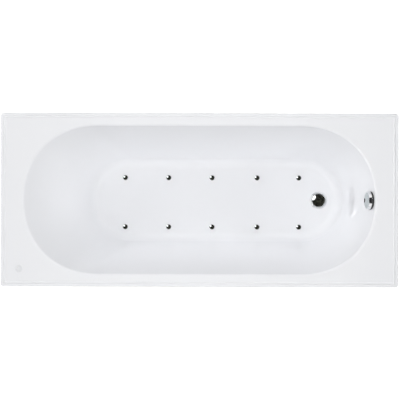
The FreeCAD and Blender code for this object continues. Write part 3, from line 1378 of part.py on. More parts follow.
def nodes():
    """Every sub-part by name."""
    parts = {
        "bath_shell": bath_shell(),
        "base_board": base_board(),
        "rail_front": rail(-1),
        "rail_rear": rail(1),
        "cross_tube_head": cross_tube(-END_TUBE_X, END_TUBE_LENGTH, (-FOOT_Y, FOOT_Y)),
        "cross_tube_middle": cross_tube(0, MIDDLE_TUBE_LENGTH, (0,)),
        "cross_tube_foot": cross_tube(END_TUBE_X, END_TUBE_LENGTH, (-FOOT_Y, FOOT_Y)),
        "corner_posts": corner_posts(),
        "rim_pads": rim_pads(),
        "frame_bolts": frame_bolts(),
        "board_screws": board_screws(),
        "tube_end_caps": tube_end_caps(),
        "foot_lock_nuts": foot_lock_nuts(),
        "jet_caps": jet_caps(),
        "jet_bodies": jet_bodies(),
        "jet_nuts": jet_nuts(),
        "jet_gaskets": jet_gaskets(),
        "jet_hoses_front": jet_hoses("jet_hoses_front", FRONT_ROW_Y),
        "jet_hoses_rear": jet_hoses("jet_hoses_rear", REAR_ROW_Y),
        "air_manifold": air_manifold(),
        "feed_hose": hose("feed_hose", feed_points(), AIR_HOSE_RADIUS, AIR_HOSE_BORE),
        "check_valve": check_valve(),
        "riser_hose": hose("riser_hose", riser_points(), AIR_HOSE_RADIUS, AIR_HOSE_BORE),
        "hose_clamps": hose_clamps(),
        "blower_tray": blower_tray(),
        "blower_housing": blower_housing(),
        "blower_motor": blower_motor(),
        "blower_impeller": blower_impeller(),
        "blower_cover": blower_cover(),
        "button_bezel": button_bezel(),
        "button_cap": button_cap(),
        "button_body": button_body(),
        "button_nut": button_nut(),
        "button_spring": button_spring(),
        "control_tube": control_tube(),
        "drain_flange": drain_flange(),
        "drain_gasket": drain_gasket(),
        "drain_plug": drain_plug(),
        "plug_seal": plug_seal(),
        "waste_body": waste_body(),
        "trap_bowl": trap_bowl(),
        "trap_cap": trap_cap(),
        "waste_pipe": waste_pipe(),
        "waste_union_nuts": waste_union_nuts(),
        "overflow_knob": overflow_knob(),
        "overflow_flange": overflow_flange(),
        "overflow_gaskets": overflow_gaskets(),
        "overflow_body": overflow_body(),
        "overflow_hose": overflow_hose(),
        "plug_cable": plug_cable(),
    }
    for place, (x, y) in FOOT_PLACES.items():
        parts["foot_stud_" + place] = foot_stud(x, y)
        parts["foot_pad_" + place] = foot_pad(x, y)
    return parts


def main():
    """Write every sub-part to its own file."""
    os.makedirs("parts", exist_ok=True)
    for name, shape in nodes().items():
        solids = shape if isinstance(shape, list) else [shape]
        whole = solids[0] if len(solids) == 1 else Part.makeCompound(solids)
        whole.exportStep("parts/" + name + ".step")


main()
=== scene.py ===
import json
import math

import bmesh
import bpy
from mathutils import Matrix, Vector, geometry


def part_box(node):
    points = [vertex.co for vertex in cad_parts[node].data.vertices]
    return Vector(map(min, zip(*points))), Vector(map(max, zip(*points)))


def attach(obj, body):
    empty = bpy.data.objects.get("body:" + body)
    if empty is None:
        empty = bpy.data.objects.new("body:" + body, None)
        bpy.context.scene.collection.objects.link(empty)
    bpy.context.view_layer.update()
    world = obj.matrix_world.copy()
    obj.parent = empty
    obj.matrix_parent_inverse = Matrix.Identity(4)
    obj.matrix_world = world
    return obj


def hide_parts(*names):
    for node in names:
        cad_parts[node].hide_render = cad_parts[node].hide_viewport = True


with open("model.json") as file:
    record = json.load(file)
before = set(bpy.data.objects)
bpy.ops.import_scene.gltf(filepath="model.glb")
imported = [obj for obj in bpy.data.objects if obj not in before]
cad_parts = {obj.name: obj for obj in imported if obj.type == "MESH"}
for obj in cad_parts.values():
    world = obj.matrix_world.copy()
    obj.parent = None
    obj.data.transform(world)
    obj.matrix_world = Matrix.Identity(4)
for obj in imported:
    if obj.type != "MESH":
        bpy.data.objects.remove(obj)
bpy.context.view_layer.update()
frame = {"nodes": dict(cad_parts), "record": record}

MAIN = "frame_and_shell"
MM = 0.001
UP = Vector((0, 0, 1))

# Places read from the shared frame
SHELL_LOW, SHELL_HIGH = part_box("bath_shell")
FLANGE_LOW, FLANGE_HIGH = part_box("drain_flange")
PAD_LOW, PAD_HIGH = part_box("rim_pads")
TUB_LENGTH = SHELL_HIGH.x - SHELL_LOW.x
TUB_WIDTH = SHELL_HIGH.y - SHELL_LOW.y
DRAIN_X = (FLANGE_LOW.x + FLANGE_HIGH.x) / 2
SHELL_WALL = 5 * MM
DECK_Z = PAD_HIGH.z + SHELL_WALL
BASIN_DEPTH = 0.4
FLOOR_Z = DECK_Z - BASIN_DEPTH

# Photograph
PHOTO_PIXELS = 400
PIXEL = 4.024 * MM
PHOTO_TUB_CENTRE = (199.55, 200.0)
PHOTO_ROLL = math.radians(0.17)
CAMERA_DISTANCE = 60.0


# Helpers for node materials

class Shader:
    """A procedural material that is put together node by node."""

    def __init__(self, name, metallic=0.0, roughness=0.5):
        self.material = bpy.data.materials.new(name)
        self.material.use_nodes = True
        self.tree = self.material.node_tree
        self.bsdf = self.tree.nodes["Principled BSDF"]
        self.bsdf.inputs["Metallic"].default_value = metallic
        self.bsdf.inputs["Roughness"].default_value = roughness
        self.coords = self.add("ShaderNodeTexCoord").outputs["Object"]

    def add(self, kind, **settings):
        node = self.tree.nodes.new(kind)
        for key, value in settings.items():
            setattr(node, key, value)
        return node

    def link(self, source, target):
        self.tree.links.new(source, target)

    def stretched(self, scale):
        mapping = self.add("ShaderNodeMapping")
        mapping.inputs["Scale"].default_value = scale
        self.link(self.coords, mapping.inputs["Vector"])
        return mapping.outputs["Vector"]

    def noise(self, scale, detail=2.0, roughness=0.5, vector=None):
        node = self.add("ShaderNodeTexNoise")
        node.inputs["Scale"].default_value = scale
        node.inputs["Detail"].default_value = detail
        node.inputs["Roughness"].default_value = roughness
        self.link(vector or self.coords, node.inputs["Vector"])
        return node.outputs["Fac"]

    def cells(self, scale, vector):
        node = self.add("ShaderNodeTexVoronoi")
        node.inputs["Scale"].default_value = scale
        self.link(vector, node.inputs["Vector"])
        return node

    def mapped(self, value, low, high, start=0.0, end=1.0):
        node = self.add("ShaderNodeMapRange")
        node.inputs["From Min"].default_value = start
        node.inputs["From Max"].default_value = end
        node.inputs["To Min"].default_value = low
        node.inputs["To Max"].default_value = high
        self.link(value, node.inputs["Value"])
        return node.outputs["Result"]

    def times(self, value, factor):
        node = self.add("ShaderNodeMath", operation="MULTIPLY")
        node.inputs[1].default_value = factor
        self.link(value, node.inputs[0])
        return node.outputs[0]

    def plus(self, first, second):
        node = self.add("ShaderNodeMath", operation="ADD")
        self.link(first, node.inputs[0])
        self.link(second, node.inputs[1])
        return node.outputs[0]

    def mixed(self, factor, first, second):
        """A colour between two: each is a colour or another node's output."""
        node = self.add("ShaderNodeMix", data_type="RGBA")
        self.link(factor, node.inputs["Factor"])
        for socket, colour in ((node.inputs[6], first), (node.inputs[7], second)):
            if isinstance(colour, tuple):
                socket.default_value = (*colour, 1.0)
            else:
                self.link(colour, socket)
        return node.outputs[2]

    def colour(self, value):
        self.link(value, self.bsdf.inputs["Base Color"])

    def roughness(self, value):
        self.link(value, self.bsdf.inputs["Roughness"])

    def bump(self, height, distance, below=None):
        node = self.add("ShaderNodeBump")
        node.inputs["Distance"].default_value = distance
        self.link(height, node.inputs["Height"])
        if below:
            self.link(below, node.inputs["Normal"])
        self.link(node.outputs["Normal"], self.bsdf.inputs["Normal"])
        return node.outputs["Normal"]


def seen_rays(tree):
    """One for rays from the camera, a mirror or through glass, and zero for the rest."""
    paths = tree.nodes.new("ShaderNodeLightPath")
    seen = paths.outputs["Is Camera Ray"]
    for ray in ("Is Glossy Ray", "Is Transmission Ray"):
        larger = tree.nodes.new("ShaderNodeMath")
        larger.operation = "MAXIMUM"
        tree.links.new(seen, larger.inputs[0])
        tree.links.new(paths.outputs[ray], larger.inputs[1])
        seen = larger.outputs[0]
    return seen


# Materials

def acrylic():
    """Cast acrylic: even white, glossy, with the slight waviness of a formed sheet."""
    s = Shader("acrylic", roughness=0.1)
    s.bsdf.inputs["Specular IOR Level"].default_value = 0.5
    s.bsdf.inputs["Coat Weight"].default_value = 0.2
    s.bsdf.inputs["Coat Roughness"].default_value = 0.04
    clouds = s.noise(3.2, 3.0)
    s.colour(s.mixed(s.mapped(clouds, 0.0, 1.0, 0.3, 0.7), ACRYLIC_SHADE, ACRYLIC_WHITE))
    wipe = s.noise(26.0, 4.0, 0.6)
    s.roughness(s.mapped(wipe, 0.06, 0.16, 0.35, 0.7))
    waves = s.bump(s.noise(16.0, 2.0), 0.00015)
    s.bump(s.noise(190.0, 2.0), 0.00004, below=waves)
    return s.material


def fibreglass():
    """The resin and chopped glass sprayed on the shell's back."""
    s = Shader("fibreglass", roughness=0.6)
    strands = s.cells(95.0, s.stretched((1.0, 0.28, 0.6)))
    across = s.cells(80.0, s.stretched((0.25, 1.0, 0.5)))
    mat = s.plus(strands.outputs["Distance"], across.outputs["Distance"])
    resin = s.noise(9.0, 4.0, 0.6)
    base = s.mixed(resin, (0.66, 0.64, 0.55), (0.78, 0.77, 0.71))
    s.colour(s.mixed(s.mapped(mat, 0.0, 0.5, 0.2, 1.1), base, (0.84, 0.84, 0.80)))
    s.roughness(s.mapped(resin, 0.35, 0.75, 0.3, 0.7))
    lumps = s.bump(s.noise(60.0, 5.0, 0.65), 0.0018)
    s.bump(mat, 0.0007, below=lumps)
    return s.material


def chipboard():
    """Raw chipboard: flat chips in several shades of pale brown."""
    s = Shader("chipboard", roughness=0.85)
    chips = s.cells(170.0, s.stretched((0.45, 1.0, 1.0)))
    tint = s.add("ShaderNodeSeparateColor")
    s.link(chips.outputs["Color"], tint.inputs["Color"])
    grain = s.noise(420.0, 3.0, 0.6, s.stretched((0.3, 1.0, 1.0)))
    base = s.mixed(tint.outputs["Red"], (0.52, 0.38, 0.22), (0.72, 0.57, 0.38))
    dark = s.mapped(tint.outputs["Green"], 0.0, 0.55, 0.82, 0.9)
    s.colour(s.mixed(dark, base, (0.33, 0.22, 0.12)))
    s.roughness(s.mapped(grain, 0.7, 0.95))
    rough = s.bump(chips.outputs["Distance"], 0.0008)
    s.bump(grain, 0.0004, below=rough)
    return s.material


def powder_coat():
    """Grey powder coat with its fine texture."""
    s = Shader("frame_paint", roughness=0.45)
    drift = s.noise(7.0, 3.0)
    s.colour(s.mixed(drift, (0.185, 0.19, 0.2), (0.245, 0.25, 0.26)))
    s.roughness(s.mapped(s.noise(60.0, 3.0), 0.34, 0.56, 0.3, 0.7))
    s.bump(s.noise(1400.0, 2.0), 0.00012)
    return s.material


def zinc():
    """Bright zinc plating with its cloudy bluish and yellowish tints."""
    s = Shader("zinc", metallic=1.0, roughness=0.32)
    clouds = s.noise(45.0, 4.0, 0.6)
    tint = s.mixed(s.mapped(clouds, 0.0, 1.0, 0.35, 0.65), (0.52, 0.54, 0.56), (0.66, 0.65, 0.60))
    s.colour(tint)
    s.roughness(s.mapped(s.noise(240.0, 3.0), 0.22, 0.45, 0.3, 0.7))
    s.bump(s.noise(900.0, 3.0), 0.00006)
    return s.material


def chrome():
    """Polished chrome with faint water marks."""
    s = Shader("chrome", metallic=1.0, roughness=0.04)
    marks = s.noise(160.0, 3.0, 0.6)
    s.colour(s.mixed(marks, (0.80, 0.81, 0.82), (0.87, 0.88, 0.89)))
    s.roughness(s.mapped(marks, 0.03, 0.12, 0.45, 0.8))
    s.bump(s.noise(500.0, 2.0), 0.000012)
    return s.material


def cast_metal():
    """The motor's cast aluminium."""
    s = Shader("motor_metal", metallic=1.0, roughness=0.5)
    s.colour(s.mixed(s.noise(120.0, 3.0), (0.34, 0.35, 0.36), (0.48, 0.49, 0.50)))
    s.roughness(s.mapped(s.noise(300.0, 2.0), 0.4, 0.62, 0.3, 0.7))
    s.bump(s.noise(1100.0, 3.0), 0.00025)
    return s.material


def satin_front():
    """The knob's finely brushed front."""
    s = Shader("satin_front", metallic=1.0, roughness=0.3)
    grain = s.noise(900.0, 2.0, 0.5, s.stretched((1.0, 0.08, 1.0)))
    s.colour(s.mixed(grain, (0.50, 0.54, 0.545), (0.60, 0.645, 0.65)))
    s.roughness(s.mapped(grain, 0.24, 0.42, 0.3, 0.7))
    s.bump(grain, 0.00003)
    return s.material


def moulded(name, dark, light, roughness=0.4, grain=900.0, depth=0.00008):
    """Moulded plastic or rubber: a fine grain, and slight shifts of colour and gloss."""
    s = Shader(name, roughness=roughness)
    drift = s.noise(22.0, 3.0)
    s.colour(s.mixed(drift, dark, light))
    s.roughness(s.mapped(s.noise(75.0, 3.0), roughness * 0.8, roughness * 1.2, 0.3, 0.7))
    s.bump(s.noise(grain, 2.0), depth)
    return s.material


def milky_tube():
    """A flexible tube that lets some light through."""
    s = Shader("clear_hose", roughness=0.22)
    s.bsdf.inputs["Transmission Weight"].default_value = 0.45
    s.bsdf.inputs["IOR"].default_value = 1.5
    s.colour(s.mixed(s.noise(35.0, 2.0), (0.62, 0.68, 0.71), (0.75, 0.79, 0.81)))
    s.roughness(s.mapped(s.noise(150.0, 2.0), 0.16, 0.34, 0.3, 0.7))
    s.bump(s.noise(300.0, 2.0), 0.00008)
    return s.material


ACRYLIC_WHITE = (0.925, 0.932, 0.953)
ACRYLIC_SHADE = (0.915, 0.922, 0.945)
MATERIALS = {
    "acrylic": acrylic(),
    "fibreglass": fibreglass(),
    "chipboard": chipboard(),
    "frame_paint": powder_coat(),
    "zinc": zinc(),
    "chrome": chrome(),
    "satin_front": satin_front(),
    "motor_metal": cast_metal(),
    "black_rubber": moulded("black_rubber", (0.012, 0.012, 0.012), (0.022, 0.022, 0.022), 0.6),
    "seal_rubber": moulded("seal_rubber", (0.72, 0.73, 0.73), (0.80, 0.81, 0.82), 0.5),
    "black_plastic": moulded("black_plastic", (0.014, 0.014, 0.016), (0.026, 0.026, 0.028), 0.38),
    "white_plastic": moulded("white_plastic", (0.70, 0.71, 0.71), (0.78, 0.79, 0.79), 0.34),
    "button_plastic": moulded("button_plastic", (0.83, 0.84, 0.86), (0.86, 0.87, 0.89), 0.16),
    "blue_plastic": moulded("blue_plastic", (0.030, 0.075, 0.19), (0.045, 0.10, 0.24), 0.36),
    "blower_grey": moulded("blower_grey", (0.060, 0.062, 0.068), (0.085, 0.088, 0.094), 0.5, 600.0, 0.0002),
    "air_hose": moulded("air_hose", (0.30, 0.31, 0.32), (0.38, 0.39, 0.40), 0.42),
    "grey_hose": moulded("grey_hose", (0.50, 0.51, 0.52), (0.58, 0.59, 0.60), 0.4),
    "clear_hose": milky_tube(),
}


def dress_frame():
    """Gives every CAD node the material of its slot."""
    for row in frame["record"]["subparts"]:
        piece = frame["nodes"][row["node"]]
        piece.data.materials.clear()
        piece.data.materials.append(MATERIALS[row["material_slot"]])


# Helpers for meshes

def at(x, y, z):
    """A place that isn't turned."""
    return Matrix.Translation((x, y, z))


def round_angles(segments):
    """Even angles round a circle."""
    return [2 * math.pi * step / segments for step in range(segments)]


def skin(bm, rows, closed=False):
    """Faces between rings of equally many corners; closed also joins the last ring to the first."""
    made = []
    for low, high in zip(rows, rows[1:] + rows[:1] if closed else rows[1:]):
        for step in range(len(low)):
            after = (step + 1) % len(low)
            made.append(bm.faces.new((low[step], low[after], high[after], high[step])))
    return made


def linked(bm, name):
    """Turns a mesh under work into an object of the scene."""
    mesh = bpy.data.meshes.new(name)
    bm.to_mesh(mesh)
    bm.free()
    piece = bpy.data.objects.new(name, mesh)
    bpy.context.scene.collection.objects.link(piece)
    return piece


def sharpen(piece, angle):
    """Marks the edges that bend by more than an angle as sharp."""
    mesh = piece.data
    bm = bmesh.new()
    bm.from_mesh(mesh)
    bmesh.ops.recalc_face_normals(bm, faces=bm.faces)
    for edge in bm.edges:
        if len(edge.link_faces) == 2 and edge.calc_face_angle(0.0) > math.radians(angle):
            edge.smooth = False
    bm.to_mesh(mesh)
    bm.free()


def weighted(piece):
    """Normals that follow the large faces, so flat faces shade flat."""
    modifier = piece.modifiers.new("normals", "WEIGHTED_NORMAL")
    modifier.keep_sharp = True
    modifier.weight = NORMAL_WEIGHT


# The shell's form

OPENING_HALF = 0.300
OPENING_END = 0.708
OPENING_END_DEPTH = 0.304
OPENING_SQUARENESS = 2.16
FLOOR_SQUARENESS = 2.04
SIDE_RUN = 0.144
BACKREST_RUN = 0.286
FOOT_WALL_RUN = 0.140
COVE_RADIUS = 0.050
ROLL_RADIUS = 0.012
CORNER_RADIUS = 0.012
SKIRT_HEIGHT = 0.035
EDGE_RADIUS = 0.004
EDGE_BREAK = 0.0008
SMALLEST_RADIUS = 0.001
BEAD_INSET = 0.011
BEAD_WIDTH = 0.010
BEAD_RISE = 0.0025
BEAD_FULLNESS = 0.75
FLOOR_HALF = OPENING_HALF - SIDE_RUN
FLOOR_HEAD = -(OPENING_END - BACKREST_RUN)
FLOOR_FOOT = OPENING_END - FOOT_WALL_RUN
JET_HOLE = 0.0083
DRAIN_HOLE = 0.0287
BUTTON_HOLE = 0.0123
OVERFLOW_HOLE = 0.0245
HOLE_REACH = 0.02

# How finely the meshes are made
END_STEPS = 96
SIDE_STEPS = 60
CORNER_STEPS = 10
COVE_STEPS = 14
WALL_STEPS = 24
ROLL_STEPS = 8
BEAD_STEPS = 10
EDGE_STEPS = 5
ROUNDING_STEPS = 4
DOME_STEPS = 16
PLUG_DOME_STEPS = 24
TUBE_CORNER_STEPS = 5
BEND_STEPS = 48
RIB_SAMPLES = 8
THREAD_SAMPLES = 6
HOLE_SEGMENTS = 64
LARGE_SEGMENTS = 128
MIDDLE_SEGMENTS = 96
CAP_SEGMENTS = 64
GUIDE_SEGMENTS = 48
SPINDLE_SEGMENTS = 32
HOSE_SEGMENTS = 40
THREAD_SEGMENTS = 32
NUT_SEGMENTS = 72
SHARP_ANGLE = 35
NUT_SHARP_ANGLE = 25
HOSE_SHARP_ANGLE = 60
THREAD_SHARP_ANGLE = 70
NORMAL_WEIGHT = 100
MERGE_DISTANCE = 1e-6
ROUNDING_SHARE = 0.45

# Jets
JET_STATIONS = (-0.3005, -0.125, 0.0505, 0.2325, 0.4015)
JET_ROWS = (-0.109, 0.090)
JET_CAP_RADIUS = 0.010
JET_CAP_SKIRT = 0.0032
JET_CAP_CROWN = 0.0012
JET_CAP_WALL = 0.0012
JET_CAP_ROUNDING = 0.0005
JET_CAP_Z = FLOOR_Z + 0.0022
JET_SNAP_RADIUS = 0.0048
JET_SNAP_BORE = 0.0036
JET_SNAP_DEPTH = 0.006
JET_AIR_HOLES = 6
JET_AIR_HOLE_RADIUS = 0.0008
JET_AIR_HOLE_LIFT = 0.0003
JET_NUT_WIDTH = 0.024
JET_NUT_BORE = 0.0081

# Drain; a profile's corners are (radius, height)
FLANGE_DEPTH = 0.025
THROAT_RADIUS = 0.022
SEAT_RADIUS = 0.0264
FLANGE_PROFILE = [(0.02845, 0.0), (0.035, 0.0), (0.0349, 0.0003), (0.0288, 0.003), (0.0276, 0.003),
                  (SEAT_RADIUS, 0.0018), (SEAT_RADIUS, -0.003), (THROAT_RADIUS, -0.003),
                  (THROAT_RADIUS, -FLANGE_DEPTH)]
FLANGE_ROUNDING = 0.0006
TAIL_RADIUS = 0.0238
TAIL_THREAD_LOW = -0.0245
TAIL_THREAD_LENGTH = 0.018
TAIL_PITCH = 0.002
TAIL_ROOT = 0.0232
TAIL_CREST = 0.024
NECK_RADIUS = 0.0284
NECK_LOW = -0.005
NECK_HIGH = -0.0002
GUIDE_RADIUS = 0.008
GUIDE_HIGH = -0.021
ARM_DEPTH = 0.023
ARM_REACH = 0.015
ARM_SIZE = (0.0155, 0.003, 0.004)
PLUG_RADIUS = 0.026
PLUG_BASE = 0.0001
PLUG_CROWN = 0.0022
PLUG_UNDERSIDE = -0.0015
PLUG_ROUNDING = 0.0009
STEM_RADIUS = 0.004
STEM_END = -0.0475

# Overflow knob; its heights are along its axis
OVERFLOW_CENTRE = Vector((0.69225, 0.0, DECK_Z - 0.045))
OVERFLOW_AXIS = Vector((-0.943860, 0.0, 0.330351))
KNOB_RADIUS = 0.0365
KNOB_COLLAR = 0.0096
KNOB_FACE = 0.0196
KNOB_PROFILE = [(0.0, 0.008), (0.0335, 0.008), (0.0335, 0.0028), (0.0362, 0.0028), (0.0362, KNOB_COLLAR),
                (KNOB_RADIUS, KNOB_COLLAR + 0.0002), (0.0345, 0.0184), (0.0328, 0.020), (0.031, 0.020),
                (0.0306, KNOB_FACE), (0.0, KNOB_FACE)]
KNOB_ROUNDING = 0.0009
SPINDLE_RADIUS = 0.004
SPINDLE_LOW = -0.024
SPINDLE_HIGH = 0.0085
GRIP_RADIUS = 0.014
GRIP_BITE = 0.0095
GRIP_CENTRE = KNOB_RADIUS + GRIP_RADIUS - GRIP_BITE
GRIP_HEIGHT = 0.0176
GRIP_HALF = 0.0052
GRIP_LOWEST = 0.0084
GRIP_NEAREST = 0.024
GRIP_WIDTH = 0.02
GRIP_MARGIN = 0.0004
GRIP_ACROSS = 0.9
HOLLOW_RADIUS = 0.008
HOLLOW_REACH = 0.0265
HOLLOW_DEPTH = 0.0068
HOLLOW_MARGIN = 1.2
HOLLOW_BRIM = 0.001
COLLAR_INSIDE = 0.03
COLLAR_OUTSIDE = 0.0363
SATIN_LOW = 0.0194
SATIN_RADIUS = 0.0307

# Air button
BUTTON_X = -0.727
BUTTON_Y = -0.278
BUTTON_RING_PROFILE = [(0.00955, 0.0), (0.0145, 0.0), (0.0145, 0.0012), (0.0132, 0.002), (0.0102, 0.002),
                       (0.00955, 0.0013)]
BUTTON_RING_ROUNDING = 0.0005
BUTTON_TOP_PROFILE = [(0.0, 0.0031), (0.004, 0.00315), (0.0068, 0.00335), (0.0083, 0.0035),
                      (0.0095, 0.0033), (0.0095, -0.0085), (0.0, -0.0085)]
BUTTON_TOP_ROUNDING = 0.0008

# Ribbed hoses
HOSE_RADIUS = 0.016
HOSE_TROUGH = 0.0149
HOSE_BORE = 0.014
RIB_PITCH = 0.005
RIB_FULLNESS = 0.7
CUFF_LENGTH = 0.024
LEAST_SIDE = 0.1
CUFF_STEP = 0.0002
BEND_SHARE = 0.45
LOOP_TOP = 0.515
RISER_ROUTE = [(-0.713, -0.005, 0.179), (-0.713, -0.17, 0.179), (-0.74, -0.17, LOOP_TOP),
               (-0.74, -0.03, LOOP_TOP), (-0.74, -0.03, 0.43)]
FEED_ROUTE = [(-0.74, -0.03, 0.37), (-0.74, -0.03, 0.30), (-0.54, -0.03, 0.262), (-0.54, -0.03, 0.183)]

# Levelling feet and nuts
FOOT_PLACES = {
    "head_front": (-0.68, -0.26),
    "head_rear": (-0.68, 0.26),
    "foot_front": (0.68, -0.26),
    "foot_rear": (0.68, 0.26),
    "middle": (0.0, 0.0),
}
STUD_RADIUS = 0.006
STUD_PITCH = 0.00175
STUD_THREAD_DEPTH = 0.0009
LOCK_NUT_LOW = 0.091
LOCK_NUT_HIGH = 0.099
LOCK_NUT_WIDTH = 0.019
LOCK_NUT_BORE = 0.00605
NUT_CHAMFER = 0.07
NUT_LEVELS = ((0.0, 0.98), (0.5, 1.06), (1.0, 1.16))

# Carrying frame
TUBE_SIDE = 0.025
TUBE_WALL = 0.002
TUBE_ROUNDING = 0.003
STUD_BORE = 0.0063
CAP_THICKNESS = 0.003
CAP_CLEARANCE = 0.0003
CAP_EASING = 0.0008
CAP_PLUG = 0.010
PAD_SIDE = 0.040
PAD_ROUNDING = 0.004

# Studio; every light's azimuth and elevation are as seen from AIM, in degrees
FLOOR_SIZE = 40.0
FLOOR_GAP = 0.0005
FLOOR_GLOW = 0.9
WORLD_FILL = 0.175
CARD_RADIUS = 6.0
CARD_HEIGHT = 9.8
CARD_SEGMENTS = 64
CARD_DARK = (0.006, 0.006, 0.006)
CARD_LIGHT = (0.06, 0.06, 0.045)
SENSOR_WIDTH = 36.0
CLIP_START = 1.0
CLIP_END = 120.0
AIM = Vector((0.0, 0.0, 0.4))
SOFTBOX_SIZE = 5.0
SOFTBOX_DISTANCE = 14.0
STRIP = {"distance": 9.0, "width": 4.2, "height": 0.9, "mirrored": True}
SOFTBOXES = {
    "overhead": {"azimuth": 0, "elevation": 90, "power": 25, "distance": 2.5, "width": 1.8, "height": 1.8},
    "key": {"azimuth": 146, "elevation": 72, "power": 41, "distance": 9.0, "width": 3.0, "height": 3.0,
            "mirrored": True},
    "left": {"azimuth": 180, "elevation": 30, "power": 50},
    "front": {"azimuth": -90, "elevation": 50, "power": 225},
    "rear": {"azimuth": 90, "elevation": 50, "power": 55},
    "left_rear": {"azimuth": 148, "elevation": 32, "power": 350},
    "strip_left_front": {"azimuth": -152, "elevation": 54, "power": 58, **STRIP},
    "strip_right_rear": {"azimuth": 32, "elevation": 32, "power": 78, **STRIP},
    "strip_right_front": {"azimuth": -34, "elevation": 32, "power": 58, **STRIP},
}


def jet_places():
    """Every jet's place in plan."""
    return [(x, y) for y in JET_ROWS for x in JET_STATIONS]


def wall_reach(run, height, wall):
    """How far a slope stands out from the floor's corner, with its cove and its rolled lip."""
    tangent = run / BASIN_DEPTH
    secant = math.hypot(1, tangent)
    cove = COVE_RADIUS + wall
    roll = ROLL_RADIUS - wall
    cove_z = FLOOR_Z + COVE_RADIUS
    roll_z = DECK_Z - ROLL_RADIUS
    if height < cove_z - cove * tangent / secant:
        return COVE_RADIUS * (tangent - secant) + math.sqrt(max(cove ** 2 - (cove_z - height) ** 2, 0))
    if height > roll_z + roll * tangent / secant:
        centre = (roll_z - FLOOR_Z) * tangent + ROLL_RADIUS * secant
        return centre - math.sqrt(max(roll ** 2 - (height - roll_z) ** 2, 0))
    return (height - FLOOR_Z) * tangent + wall * secant


def outline(height, wall):
    """The basin's level outline at a height, as points in order round the tub."""
    share = (height - FLOOR_Z) / BASIN_DEPTH
    depth = FLOOR_HALF + share * (OPENING_END_DEPTH - FLOOR_HALF)
    square = FLOOR_SQUARENESS + share * (OPENING_SQUARENESS - FLOOR_SQUARENESS)
    half = FLOOR_HALF + wall_reach(SIDE_RUN, height, wall)
    head_centre = FLOOR_HEAD - share * BACKREST_RUN + depth
    foot_centre = FLOOR_FOOT + share * FOOT_WALL_RUN - depth
    head_end = FLOOR_HEAD - wall_reach(BACKREST_RUN, height, wall)
    foot_end = FLOOR_FOOT + wall_reach(FOOT_WALL_RUN, height, wall)
    points = []
    ends = ((1, foot_centre, foot_end - foot_centre), (-1, head_centre, head_centre - head_end))
    for side, centre, reach in ends:
        for step in range(END_STEPS + 1):
            angle = math.pi * (step / END_STEPS - 0.5)
            across = abs(math.sin(angle)) / half
            along = abs(math.cos(angle)) / reach
            distance = (across ** square + along ** square) ** (-1 / square)
            points.append(Vector((centre + side * distance * math.cos(angle),
                                  side * distance * math.sin(angle), height)))
        following = head_centre if side == 1 else foot_centre
        for step in range(1, SIDE_STEPS):
            x = centre + (following - centre) * step / SIDE_STEPS
            points.append(Vector((x, side * half, height)))
    return points


def flat_fill(bm, loops, height, material):
    """Fills a flat region with triangles: inside the first loop and outside the others."""
    corners = [bm.verts.new((p.x, p.y, height)) for loop in loops for p in loop]
    for triple in geometry.tessellate_polygon(loops):
        made = bm.faces.new([corners[index] for index in triple])
        made.material_index = material


def bands(bm, rings, material):
    """Faces between rings of equally many points; the face normals follow the rings' order."""
    for made in skin(bm, [[bm.verts.new(p) for p in ring] for ring in rings]):
        made.material_index = material


def border(inset, height):
    """The tub's rounded rectangle at an inset, as points in order."""
    radius = max(CORNER_RADIUS - inset, SMALLEST_RADIUS)
    half_x = TUB_LENGTH / 2 - inset - radius
    half_y = TUB_WIDTH / 2 - inset - radius
    points = []
    for corner, (sx, sy) in enumerate(((1, -1), (1, 1), (-1, 1), (-1, -1))):
        for step in range(CORNER_STEPS + 1):
            angle = math.radians(90 * (corner - 1 + step / CORNER_STEPS))
            points.append(Vector((sx * half_x + radius * math.cos(angle),
                                  sy * half_y + radius * math.sin(angle), height)))
    return points


def wall_levels(wall):
    """Heights from the floor to the deck: close together in the cove and in the roll."""
    low = FLOOR_Z - wall
    high = DECK_Z - wall
    cove = COVE_RADIUS + wall
    roll = ROLL_RADIUS - wall
    cove_top = low + cove
    roll_low = high - roll
    bend = [math.radians(90 * step / COVE_STEPS) for step in range(COVE_STEPS)]
    levels = [cove_top - cove * math.cos(angle) for angle in bend]
    levels += [cove_top + (roll_low - cove_top) * step / WALL_STEPS for step in range(WALL_STEPS)]
    bend = [math.radians(90 * step / ROLL_STEPS) for step in range(ROLL_STEPS + 1)]
    return levels + [roll_low + roll * math.sin(angle) for angle in bend]


def shell_edge():
    """The outer border's profile as (inset, height): bead, rounded edge, skirt and its inside."""
    profile = []
    for step in range(BEAD_STEPS + 1):
        swell = math.sin(math.pi * step / BEAD_STEPS) ** BEAD_FULLNESS
        profile.append((BEAD_INSET + BEAD_WIDTH * (1 - step / BEAD_STEPS), DECK_Z + BEAD_RISE * swell))
    for step in range(EDGE_STEPS + 1):
        angle = math.radians(90 * step / EDGE_STEPS)
        profile.append((EDGE_RADIUS * (1 - math.sin(angle)), DECK_Z - EDGE_RADIUS * (1 - math.cos(angle))))
    profile.append((0.0, DECK_Z - SKIRT_HEIGHT + EDGE_BREAK))
    profile.append((EDGE_BREAK, DECK_Z - SKIRT_HEIGHT))
    return profile


def cutter(holes):
    """Round plugs, each (centre, axis, radius, half length), as one object to cut with."""
    bm = bmesh.new()
    for centre, axis, radius, half in holes:
        turn = UP.rotation_difference(axis).to_matrix().to_4x4()
        bmesh.ops.create_cone(bm, cap_ends=True, segments=HOLE_SEGMENTS, radius1=radius, radius2=radius,
                              depth=2 * half, matrix=Matrix.Translation(centre) @ turn)
    return linked(bm, "cutter")


